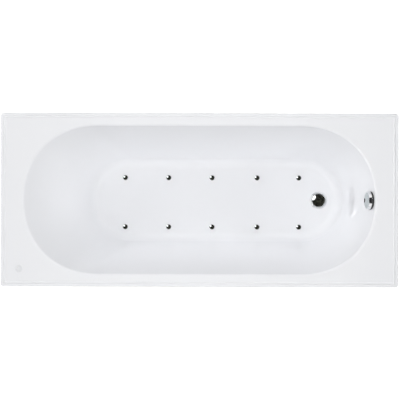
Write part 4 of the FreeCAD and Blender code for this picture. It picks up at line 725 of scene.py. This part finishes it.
def cut_holes(piece, holes):
    """Cuts round holes into a piece for good."""
    tool = cutter(holes)
    modifier = piece.modifiers.new("holes", "BOOLEAN")
    modifier.object = tool
    modifier.solver = "EXACT"
    evaluated = piece.evaluated_get(bpy.context.evaluated_depsgraph_get())
    mesh = bpy.data.meshes.new_from_object(evaluated)
    piece.modifiers.clear()
    piece.data = mesh
    bpy.data.objects.remove(tool)


def bath_shell():
    """The formed acrylic sheet with its glass-fibre back."""
    bm = bmesh.new()
    upper = [outline(z, 0.0) for z in wall_levels(0.0)]
    lower = [outline(z, SHELL_WALL) for z in wall_levels(SHELL_WALL)]
    edge = [border(inset, z) for inset, z in shell_edge()]
    inside = [border(EDGE_BREAK, DECK_Z - SKIRT_HEIGHT), border(SHELL_WALL, DECK_Z - SKIRT_HEIGHT),
              border(SHELL_WALL, DECK_Z - SHELL_WALL)]
    bands(bm, upper, 0)
    bands(bm, lower[::-1], 1)
    bands(bm, edge[::-1], 0)
    bands(bm, inside[::-1], 1)
    flat_fill(bm, [upper[0]], FLOOR_Z, 0)
    flat_fill(bm, [lower[0]], FLOOR_Z - SHELL_WALL, 1)
    flat_fill(bm, [edge[0], upper[-1]], DECK_Z, 0)
    flat_fill(bm, [inside[-1], lower[-1]], DECK_Z - SHELL_WALL, 1)
    bmesh.ops.remove_doubles(bm, verts=bm.verts, dist=MERGE_DISTANCE)
    bmesh.ops.recalc_face_normals(bm, faces=bm.faces)
    piece = linked(bm, "shell_sheet")
    piece.data.materials.append(MATERIALS["acrylic"])
    piece.data.materials.append(MATERIALS["fibreglass"])
    holes = [(Vector((x, y, FLOOR_Z)), UP, JET_HOLE, HOLE_REACH) for x, y in jet_places()]
    holes.append((Vector((DRAIN_X, 0, FLOOR_Z)), UP, DRAIN_HOLE, HOLE_REACH))
    holes.append((Vector((BUTTON_X, BUTTON_Y, DECK_Z)), UP, BUTTON_HOLE, HOLE_REACH))
    holes.append((OVERFLOW_CENTRE, OVERFLOW_AXIS, OVERFLOW_HOLE, HOLE_REACH))
    cut_holes(piece, holes)
    piece.data.shade_smooth()
    sharpen(piece, SHARP_ANGLE)
    weighted(piece)
    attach(piece, MAIN)
    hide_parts("bath_shell")


# Turned, wound and drawn pieces

def rounded(profile, radius):
    """A profile of (radius, height) corners, rounded at all but its ends."""
    smooth = [profile[0]]
    for before, corner, after in zip(profile, profile[1:], profile[2:]):
        before, corner, after = Vector(before), Vector(corner), Vector(after)
        run_in = before - corner
        run_out = after - corner
        reach = min(radius, run_in.length * ROUNDING_SHARE, run_out.length * ROUNDING_SHARE)
        start = corner + run_in.normalized() * reach
        end = corner + run_out.normalized() * reach
        for step in range(ROUNDING_STEPS + 1):
            share = step / ROUNDING_STEPS
            bend = start * (1 - share) ** 2 + corner * 2 * share * (1 - share) + end * share ** 2
            smooth.append(tuple(bend))
    smooth.append(profile[-1])
    return smooth


def arc_profile(radius, base, rise, steps=DOME_STEPS):
    """A shallow dome's profile from its middle out to its edge."""
    ball = (radius ** 2 + rise ** 2) / (2 * rise)
    reach = math.asin(radius / ball)
    angles = [reach * step / steps for step in range(steps + 1)]
    return [(ball * math.sin(a), base + rise - ball * (1 - math.cos(a))) for a in angles]


def lathe(bm, profile, place, segments=MIDDLE_SEGMENTS, closed=False):
    """Turns a profile about the Z axis of a place."""
    rings = []
    for radius, height in profile:
        if radius < MERGE_DISTANCE:
            rings.append([bm.verts.new(place @ Vector((0, 0, height)))])
            continue
        rings.append([bm.verts.new(place @ Vector((radius * math.cos(a), radius * math.sin(a), height)))
                      for a in round_angles(segments)])
    following = rings[1:] + rings[:1] if closed else rings[1:]
    for low, high in zip(rings, following):
        for step in range(segments):
            after = (step + 1) % segments
            quad = (low[step % len(low)], low[after % len(low)],
                    high[after % len(high)], high[step % len(high)])
            corners = list(dict.fromkeys(quad))
            if len(corners) > 2:
                bm.faces.new(corners)


def finished(bm, name, slot, body=MAIN, sharp=SHARP_ANGLE, replaces=None, holes=()):
    """Turns a mesh under work into a piece on a body."""
    bmesh.ops.recalc_face_normals(bm, faces=bm.faces)
    piece = linked(bm, name)
    piece.data.materials.append(MATERIALS[slot])
    if holes:
        cut_holes(piece, holes)
    piece.data.shade_smooth()
    sharpen(piece, sharp)
    weighted(piece)
    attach(piece, body)
    if replaces:
        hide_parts(replaces)
    return piece


def jet_caps():
    """Chromed caps: a low skirt with air holes under a shallow crown, and a snap tube."""
    crown = arc_profile(JET_CAP_RADIUS, JET_CAP_SKIRT, JET_CAP_CROWN)
    inner = JET_CAP_RADIUS - JET_CAP_WALL
    under = [(JET_CAP_RADIUS, JET_CAP_SKIRT), (JET_CAP_RADIUS, 0.0), (inner, 0.0),
             (inner, JET_CAP_SKIRT - JET_CAP_WALL / 2), (JET_SNAP_RADIUS, JET_CAP_SKIRT),
             (JET_SNAP_RADIUS, -JET_SNAP_DEPTH), (JET_SNAP_BORE, -JET_SNAP_DEPTH),
             (JET_SNAP_BORE, JET_CAP_SKIRT), (0.0, JET_CAP_SKIRT)]
    template = bmesh.new()
    lathe(template, rounded(crown[:-1] + under, JET_CAP_ROUNDING), Matrix(), CAP_SEGMENTS)
    bmesh.ops.recalc_face_normals(template, faces=template.faces)
    cap = linked(template, "jet_cap")
    holes = []
    lift = Vector((0, 0, JET_AIR_HOLE_RADIUS + JET_AIR_HOLE_LIFT))
    for angle in round_angles(JET_AIR_HOLES):
        outward = Vector((math.cos(angle), math.sin(angle), 0))
        middle = outward * (inner + JET_CAP_WALL / 2) + lift
        holes.append((middle, outward, JET_AIR_HOLE_RADIUS, JET_CAP_WALL))
    cut_holes(cap, holes)
    bm = bmesh.new()
    for x, y in jet_places():
        copy = cap.data.copy()
        copy.transform(at(x, y, JET_CAP_Z))
        bm.from_mesh(copy)
        bpy.data.meshes.remove(copy)
    bpy.data.objects.remove(cap)
    finished(bm, "jet_caps_turned", "chrome", replaces="jet_caps")


def drain():
    """The flange with its seat, threaded tail and guide, and the crowned plug."""
    place = at(DRAIN_X, 0, FLOOR_Z)
    tail = [(TAIL_RADIUS, -FLANGE_DEPTH)]
    turns = int(TAIL_THREAD_LENGTH / TAIL_PITCH)
    for step in range(turns):
        low = TAIL_THREAD_LOW + step * TAIL_PITCH
        tail += [(TAIL_ROOT, low), (TAIL_CREST, low + TAIL_PITCH / 2)]
    tail += [(TAIL_ROOT, TAIL_THREAD_LOW + turns * TAIL_PITCH), (TAIL_RADIUS, NECK_LOW),
             (NECK_RADIUS, NECK_LOW), (NECK_RADIUS, NECK_HIGH)]
    guide = [(0.0, -FLANGE_DEPTH), (GUIDE_RADIUS, -FLANGE_DEPTH), (GUIDE_RADIUS, GUIDE_HIGH),
             (0.0, GUIDE_HIGH)]
    bm = bmesh.new()
    lathe(bm, rounded(FLANGE_PROFILE, FLANGE_ROUNDING) + tail, place, LARGE_SEGMENTS, closed=True)
    lathe(bm, guide, place, GUIDE_SEGMENTS)
    for turn in (0, 90, 180, 270):
        arm = at(DRAIN_X, 0, FLOOR_Z - ARM_DEPTH) @ Matrix.Rotation(math.radians(turn), 4, "Z")
        arm = arm @ at(ARM_REACH, 0, 0) @ Matrix.Diagonal((*ARM_SIZE, 1.0))
        bmesh.ops.create_cube(bm, size=1.0, matrix=arm)
    finished(bm, "drain_flange_turned", "chrome", replaces="drain_flange")
    crown = arc_profile(PLUG_RADIUS, PLUG_BASE, PLUG_CROWN, PLUG_DOME_STEPS)
    stem = [(PLUG_RADIUS, PLUG_UNDERSIDE), (STEM_RADIUS, PLUG_UNDERSIDE), (STEM_RADIUS, STEM_END),
            (0.0, STEM_END)]
    bm = bmesh.new()
    lathe(bm, rounded(crown + stem, PLUG_ROUNDING), place, LARGE_SEGMENTS)
    finished(bm, "drain_plug_turned", "chrome", "plug", replaces="drain_plug")


def knob():
    """The overflow's knob: a chromed disc with a satin front, a notch, a hollow and a collar; the notch's
    wall and floor and the hollow's sides are black as painted shade, and the collar's black band is partly
    a black ring and partly painted shade of the gap behind the knob.
    """
    side = Vector((0, 1, 0))
    turn = Matrix((side.cross(OVERFLOW_AXIS), side, OVERFLOW_AXIS)).transposed()
    place = Matrix.Translation(OVERFLOW_CENTRE) @ turn.to_4x4()
    spindle = [(0.0, SPINDLE_LOW), (SPINDLE_RADIUS, SPINDLE_LOW), (SPINDLE_RADIUS, SPINDLE_HIGH),
               (0.0, SPINDLE_HIGH)]
    bm = bmesh.new()
    lathe(bm, rounded(KNOB_PROFILE, KNOB_ROUNDING), place, LARGE_SEGMENTS)
    lathe(bm, spindle, place, SPINDLE_SEGMENTS)
    up = turn @ Vector((1, 0, 0))
    rise = up * (1 if up.z > 0 else -1)
    notch = OVERFLOW_CENTRE + rise * GRIP_CENTRE + OVERFLOW_AXIS * GRIP_HEIGHT
    hollow = OVERFLOW_CENTRE - rise * HOLLOW_REACH + OVERFLOW_AXIS * KNOB_FACE
    grips = [(notch, OVERFLOW_AXIS, GRIP_RADIUS, GRIP_HALF),
             (hollow, OVERFLOW_AXIS, HOLLOW_RADIUS, HOLLOW_DEPTH)]
    piece = finished(bm, "overflow_knob_turned", "chrome", "knob", replaces="overflow_knob", holes=grips)
    piece.data.materials.append(MATERIALS["satin_front"])
    piece.data.materials.append(MATERIALS["black_plastic"])
    # Painted shade: the notch's wall and floor and the hollow's sides get black plastic as the shade in
    # these recesses; the collar's outer band is black, partly a real black ring and partly painted shade of
    # the gap behind the knob.
    back = place.inverted()
    for face in piece.data.polygons:
        spot = back @ face.center
        reach = math.hypot(spot.x, spot.y)
        grip_wall_painted_shade = on_grip(spot, reach) and abs((back.to_3x3() @ face.normal).y) < GRIP_ACROSS
        in_hollow = (spot - back @ hollow).length < HOLLOW_RADIUS * HOLLOW_MARGIN
        hollow_side_painted_shade = in_hollow and spot.z < KNOB_FACE - HOLLOW_BRIM
        if grip_wall_painted_shade or hollow_side_painted_shade or (spot.z < KNOB_COLLAR and reach > COLLAR_INSIDE):
            face.material_index = 2
        elif spot.z > SATIN_LOW and reach < SATIN_RADIUS:
            face.material_index = 1


def on_grip(spot, reach):
    """Whether a place in the knob's own frame lies on the notch's round wall or its floor."""
    away = math.hypot(abs(spot.x) - GRIP_CENTRE, spot.y)
    near = abs(spot.x) > GRIP_NEAREST and abs(spot.y) < GRIP_WIDTH
    return near and spot.z > GRIP_LOWEST and reach < COLLAR_OUTSIDE and away < GRIP_RADIUS + GRIP_MARGIN


def button():
    """The air button: a rounded ring on the deck and a dished cap."""
    place = at(BUTTON_X, BUTTON_Y, DECK_Z)
    bm = bmesh.new()
    lathe(bm, rounded(BUTTON_RING_PROFILE, BUTTON_RING_ROUNDING), place, closed=True)
    finished(bm, "button_ring", "button_plastic", replaces="button_bezel")
    bm = bmesh.new()
    lathe(bm, rounded(BUTTON_TOP_PROFILE, BUTTON_TOP_ROUNDING), place)
    finished(bm, "button_top", "button_plastic", "button", replaces="button_cap")


def fillet_path(points, spacing):
    """Places at even steps along a path of straight runs and arcs."""
    dense = [Vector(points[0])]
    for before, corner, after in zip(points, points[1:], points[2:]):
        before, corner, after = Vector(before), Vector(corner), Vector(after)
        run_in = (corner - before).normalized()
        run_out = (after - corner).normalized()
        reach = BEND_SHARE * min((corner - before).length, (after - corner).length)
        turn = run_in.angle(run_out)
        radius = reach / math.tan(turn / 2)
        inward = (run_out - run_in).normalized()
        centre = corner + inward * (radius / math.cos(turn / 2))
        start = corner - run_in * reach - centre
        axis = run_in.cross(run_out).normalized()
        for step in range(BEND_STEPS + 1):
            dense.append(centre + Matrix.Rotation(turn * step / BEND_STEPS, 3, axis) @ start)
    dense.append(Vector(points[-1]))
    lengths = [0.0]
    for low, high in zip(dense, dense[1:]):
        lengths.append(lengths[-1] + (high - low).length)
    count = round(lengths[-1] / spacing)
    places = []
    leg = 0
    for step in range(count + 1):
        distance = lengths[-1] * step / count
        while leg < len(dense) - 2 and lengths[leg + 1] < distance:
            leg += 1
        share = (distance - lengths[leg]) / max(lengths[leg + 1] - lengths[leg], MERGE_DISTANCE)
        places.append(dense[leg].lerp(dense[leg + 1], share))
    return places


def ribbed_hose(name, node, points):
    """A hose with rounded ribs between two plain cuffs."""
    spacing = RIB_PITCH / RIB_SAMPLES
    places = fillet_path(points, spacing)
    length = spacing * (len(places) - 1)
    bm = bmesh.new()
    outer, inner = [], []
    normal = UP
    for index, place in enumerate(places):
        ahead = (places[min(index + 1, len(places) - 1)] - places[max(index - 1, 0)]).normalized()
        normal = normal - ahead * normal.dot(ahead)
        normal = (normal if normal.length > LEAST_SIDE else ahead.orthogonal()).normalized()
        other = ahead.cross(normal)
        distance = index * spacing
        ribbed = CUFF_LENGTH < distance < length - CUFF_LENGTH
        swell = 0.5 - 0.5 * math.cos(2 * math.pi * (distance - CUFF_LENGTH) / RIB_PITCH)
        rib = HOSE_TROUGH + (HOSE_RADIUS - HOSE_TROUGH) * swell ** RIB_FULLNESS
        for rings, reach in ((outer, rib if ribbed else HOSE_RADIUS - CUFF_STEP), (inner, HOSE_BORE)):
            rings.append([bm.verts.new(place + normal * reach * math.cos(a) + other * reach * math.sin(a))
                          for a in round_angles(HOSE_SEGMENTS)])
    for rings in (outer, inner, [outer[0], inner[0]], [outer[-1], inner[-1]]):
        skin(bm, rings)
    finished(bm, name, "air_hose", sharp=HOSE_SHARP_ANGLE, replaces=node)


def hoses():
    """The blower's riser hose and the feed hose down to the manifold."""
    ribbed_hose("riser_hose_ribbed", "riser_hose", RISER_ROUTE)
    ribbed_hose("feed_hose_ribbed", "feed_hose", FEED_ROUTE)


def thread(bm, x, y, low, high, radius, pitch, depth):
    """A stud with a real helical thread."""
    rings = int((high - low) / pitch * THREAD_SAMPLES)
    rows = []
    for ring in range(rings + 1):
        z = low + (high - low) * ring / rings
        fade = min(1.0, (z - low) / pitch, (high - z) / pitch)
        row = []
        for step, angle in enumerate(round_angles(THREAD_SEGMENTS)):
            phase = ((z - low) / pitch - step / THREAD_SEGMENTS) % 1.0
            groove = abs(2 * phase - 1)
            reach = radius - depth * (1 - groove) * fade - depth * (1 - fade)
            row.append(bm.verts.new((x + reach * math.cos(angle), y + reach * math.sin(angle), z)))
        rows.append(row)
    skin(bm, rows)
    bm.faces.new(rows[0][::-1])
    bm.faces.new(rows[-1])


def nut(bm, x, y, low, high, width, bore):
    """A hexagon nut whose corners are chamfered as on a lathe."""
    height = high - low
    chamfer = width * NUT_CHAMFER
    levels = [(chamfer * share, width / 2 * reach) for share, reach in NUT_LEVELS]
    stack = [(low + z, reach) for z, reach in levels]
    stack += [(low + height - z, reach) for z, reach in levels[::-1]]
    rows = []
    for z, reach in stack:
        row = []
        for angle in round_angles(NUT_SEGMENTS):
            fold = (angle + math.pi / 6) % (math.pi / 3) - math.pi / 6
            out = min(width / 2 / math.cos(fold), reach)
            row.append(bm.verts.new((x + out * math.sin(angle), y + out * math.cos(angle), z)))
        rows.append(row)
    for z in (stack[-1][0], stack[0][0]):
        rows.append([bm.verts.new((x + bore * math.sin(a), y + bore * math.cos(a), z))
                     for a in round_angles(NUT_SEGMENTS)])
    skin(bm, rows, closed=True)


def feet():
    """The levelling feet's threaded studs and chamfered lock nuts, and the jets' nuts."""
    lock_nuts = bmesh.new()
    for place, (x, y) in FOOT_PLACES.items():
        body = "levelling_foot_" + place
        low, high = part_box("foot_stud_" + place)
        bm = bmesh.new()
        thread(bm, x, y, low.z, high.z, STUD_RADIUS, STUD_PITCH, STUD_THREAD_DEPTH)
        finished(bm, "stud_threaded_" + place, "zinc", body, THREAD_SHARP_ANGLE, "foot_stud_" + place)
        nut(lock_nuts, x, y, LOCK_NUT_LOW, LOCK_NUT_HIGH, LOCK_NUT_WIDTH, LOCK_NUT_BORE)
    finished(lock_nuts, "lock_nuts_chamfered", "zinc", sharp=NUT_SHARP_ANGLE, replaces="foot_lock_nuts")
    jet_nuts = bmesh.new()
    low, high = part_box("jet_nuts")
    for x, y in jet_places():
        nut(jet_nuts, x, y, low.z, high.z, JET_NUT_WIDTH, JET_NUT_BORE)
    finished(jet_nuts, "jet_nuts_chamfered", "white_plastic", sharp=NUT_SHARP_ANGLE, replaces="jet_nuts")


# Carrying frame

def rounded_square(half, radius):
    """A square with rounded corners, as points about its middle."""
    points = []
    for quarter in range(4):
        corner = math.radians(90 * quarter + 45)
        reach = (half - radius) * math.sqrt(2)
        for step in range(TUBE_CORNER_STEPS + 1):
            angle = math.radians(90 * (quarter + step / TUBE_CORNER_STEPS))
            points.append((reach * math.cos(corner) + radius * math.cos(angle),
                           reach * math.sin(corner) + radius * math.sin(angle)))
    return points


def stacked(bm, sections, middle, along, hollow=False):
    """Skins rounded squares, each (distance along, half side, corner radius), into one body."""
    turn = UP.rotation_difference(along).to_matrix()
    rows = []
    for distance, half, radius in sections:
        corners = rounded_square(half, radius)
        rows.append([bm.verts.new(middle + turn @ Vector((x, y, distance))) for x, y in corners])
    if not hollow:
        bm.faces.new(rows[0][::-1])
        bm.faces.new(rows[-1])
    skin(bm, rows, closed=hollow)


def square_tube(bm, middle, along, length):
    """A hollow square tube with rolled corners."""
    outer = TUBE_SIDE / 2
    inner = outer - TUBE_WALL
    half = length / 2
    stacked(bm, [(-half, outer, TUBE_ROUNDING), (half, outer, TUBE_ROUNDING),
                 (half, inner, TUBE_ROUNDING - TUBE_WALL), (-half, inner, TUBE_ROUNDING - TUBE_WALL)],
            middle, along, hollow=True)


def end_cap(bm, middle, along):
    """A moulded cap with an eased edge, and its plug inside the tube."""
    outer = TUBE_SIDE / 2
    plug = outer - TUBE_WALL - CAP_CLEARANCE
    stacked(bm, [(-CAP_PLUG, plug, CAP_EASING), (0, plug, CAP_EASING), (0, outer, TUBE_ROUNDING),
                 (CAP_THICKNESS - CAP_EASING, outer, TUBE_ROUNDING),
                 (CAP_THICKNESS, outer - CAP_EASING, TUBE_ROUNDING - CAP_EASING)], middle, along)


def frame_tubes():
    """The frame's tubes with rolled corners, their end caps, and the rubber pads on the posts."""
    caps = bmesh.new()
    for node in ("rail_front", "rail_rear", "cross_tube_head", "cross_tube_middle", "cross_tube_foot"):
        low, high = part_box(node)
        middle = (low + high) / 2
        along = Vector((1, 0, 0)) if node.startswith("rail") else Vector((0, 1, 0))
        length = (high - low).dot(along)
        bm = bmesh.new()
        square_tube(bm, middle, along, length)
        bores = [(Vector((x, y, middle.z)), UP, STUD_BORE, TUBE_SIDE) for x, y in FOOT_PLACES.values()
                 if node.startswith("cross") and abs(x - middle.x) < TUBE_SIDE]
        finished(bm, node + "_rolled", "frame_paint", replaces=node, holes=bores)
        for way in (along, -along):
            end_cap(caps, middle + way * length / 2, way)
    finished(caps, "tube_end_caps_moulded", "black_plastic", replaces="tube_end_caps")
    low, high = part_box("corner_posts")
    reach = (high - low - Vector((TUBE_SIDE, TUBE_SIDE, 0))) / 2
    posts = bmesh.new()
    pads = bmesh.new()
    plug = TUBE_SIDE / 2 - TUBE_WALL - CAP_CLEARANCE
    sections = [(PAD_LOW.z - high.z, plug, CAP_EASING), (0, plug, CAP_EASING),
                (0, PAD_SIDE / 2 - CAP_EASING, PAD_ROUNDING), (CAP_EASING, PAD_SIDE / 2, PAD_ROUNDING),
                (PAD_HIGH.z - high.z, PAD_SIDE / 2, PAD_ROUNDING)]
    for x in (-reach.x, reach.x):
        for y in (-reach.y, reach.y):
            square_tube(posts, Vector((x, y, (low.z + high.z) / 2)), UP, high.z - low.z)
            stacked(pads, sections, Vector((x, y, high.z)), UP)
    finished(posts, "corner_posts_rolled", "frame_paint", replaces="corner_posts")
    finished(pads, "rim_pads_moulded", "black_rubber", replaces="rim_pads")


# Studio

def studio_floor():
    """A plain pale floor that stays nearly white to the eye and keeps a soft shadow."""
    bm = bmesh.new()
    bmesh.ops.create_grid(bm, x_segments=1, y_segments=1, size=FLOOR_SIZE / 2)
    floor = linked(bm, "studio_floor")
    floor.location.z = -FLOOR_GAP
    s = Shader("studio_floor", roughness=0.9)
    s.bsdf.inputs["Base Color"].default_value = (0.8, 0.8, 0.8, 1.0)
    s.bsdf.inputs["Specular IOR Level"].default_value = 0.0
    s.bsdf.inputs["Emission Color"].default_value = (1.0, 1.0, 1.0, 1.0)
    s.link(s.times(seen_rays(s.tree), FLOOR_GLOW), s.bsdf.inputs["Emission Strength"])
    floor.data.materials.append(s.material)


def dark_ceiling():
    """A dark card over the tub that only mirrors see."""
    bm = bmesh.new()
    bmesh.ops.create_circle(bm, cap_ends=True, segments=CARD_SEGMENTS, radius=CARD_RADIUS)
    card = linked(bm, "dark_card")
    card.location = (0, 0, CARD_HEIGHT)
    s = Shader("dark_card", roughness=1.0)
    patches = s.noise(0.9, 4.0, 0.6)
    s.bsdf.inputs["Base Color"].default_value = (0.0, 0.0, 0.0, 1.0)
    s.bsdf.inputs["Specular IOR Level"].default_value = 0.0
    s.link(s.mixed(s.mapped(patches, 0.0, 1.0, 0.42, 0.62), CARD_DARK, CARD_LIGHT),
           s.bsdf.inputs["Emission Color"])
    s.bsdf.inputs["Emission Strength"].default_value = 1.0
    card.data.materials.append(s.material)
    card.visible_camera = False
    card.visible_diffuse = False
    card.visible_transmission = False
    card.visible_shadow = False


def softbox(name, azimuth, elevation, power, distance=SOFTBOX_DISTANCE, width=SOFTBOX_SIZE,
            height=SOFTBOX_SIZE, mirrored=False):
    """An oval soft light on the tub's middle; only a mirrored one shows in glossy surfaces."""
    light = bpy.data.lights.new(name, "AREA")
    light.shape = "ELLIPSE"
    light.size = width
    light.size_y = height
    light.energy = power
    lamp = bpy.data.objects.new(name, light)
    bpy.context.scene.collection.objects.link(lamp)
    turn = math.radians(azimuth)
    lift = math.radians(elevation)
    away = Vector((math.cos(lift) * math.cos(turn), math.cos(lift) * math.sin(turn), math.sin(lift)))
    lamp.location = AIM + away * distance
    lamp.rotation_euler = (-away).to_track_quat("-Z", "Y").to_euler()
    lamp.visible_camera = False
    lamp.visible_glossy = mirrored


def white_world():
    """White to the camera and to mirrors, and a softer fill on diffuse surfaces."""
    world = bpy.data.worlds.new("studio")
    world.use_nodes = True
    bpy.context.scene.world = world
    tree = world.node_tree
    background = tree.nodes["Background"]
    background.inputs["Color"].default_value = (1.0, 1.0, 1.0, 1.0)
    strength = tree.nodes.new("ShaderNodeMapRange")
    strength.inputs["To Min"].default_value = WORLD_FILL
    strength.inputs["To Max"].default_value = 1.0
    tree.links.new(seen_rays(tree), strength.inputs["Value"])
    tree.links.new(strength.outputs["Result"], background.inputs["Strength"])


def photo_camera():
    """A very long lens straight above the tub, as in the photograph."""
    data = bpy.data.cameras.new("photo_camera")
    data.sensor_width = SENSOR_WIDTH
    data.lens = data.sensor_width * CAMERA_DISTANCE / (PHOTO_PIXELS * PIXEL)
    data.clip_start = CLIP_START
    data.clip_end = CLIP_END
    data.dof.use_dof = False
    camera = bpy.data.objects.new("photo_camera", data)
    bpy.context.scene.collection.objects.link(camera)
    across = (PHOTO_PIXELS / 2 - PHOTO_TUB_CENTRE[0]) * PIXEL
    upward = (PHOTO_TUB_CENTRE[1] - PHOTO_PIXELS / 2) * PIXEL
    camera.location = (across, upward, DECK_Z + CAMERA_DISTANCE)
    camera.rotation_euler = (0, 0, PHOTO_ROLL)
    bpy.context.scene.camera = camera


dress_frame()
bath_shell()
jet_caps()
drain()
knob()
button()
hoses()
feet()
frame_tubes()
studio_floor()
dark_ceiling()
for light_name, light_facts in SOFTBOXES.items():
    softbox(light_name, **light_facts)
white_world()
photo_camera()
bpy.context.scene.view_settings.view_transform = "Standard"
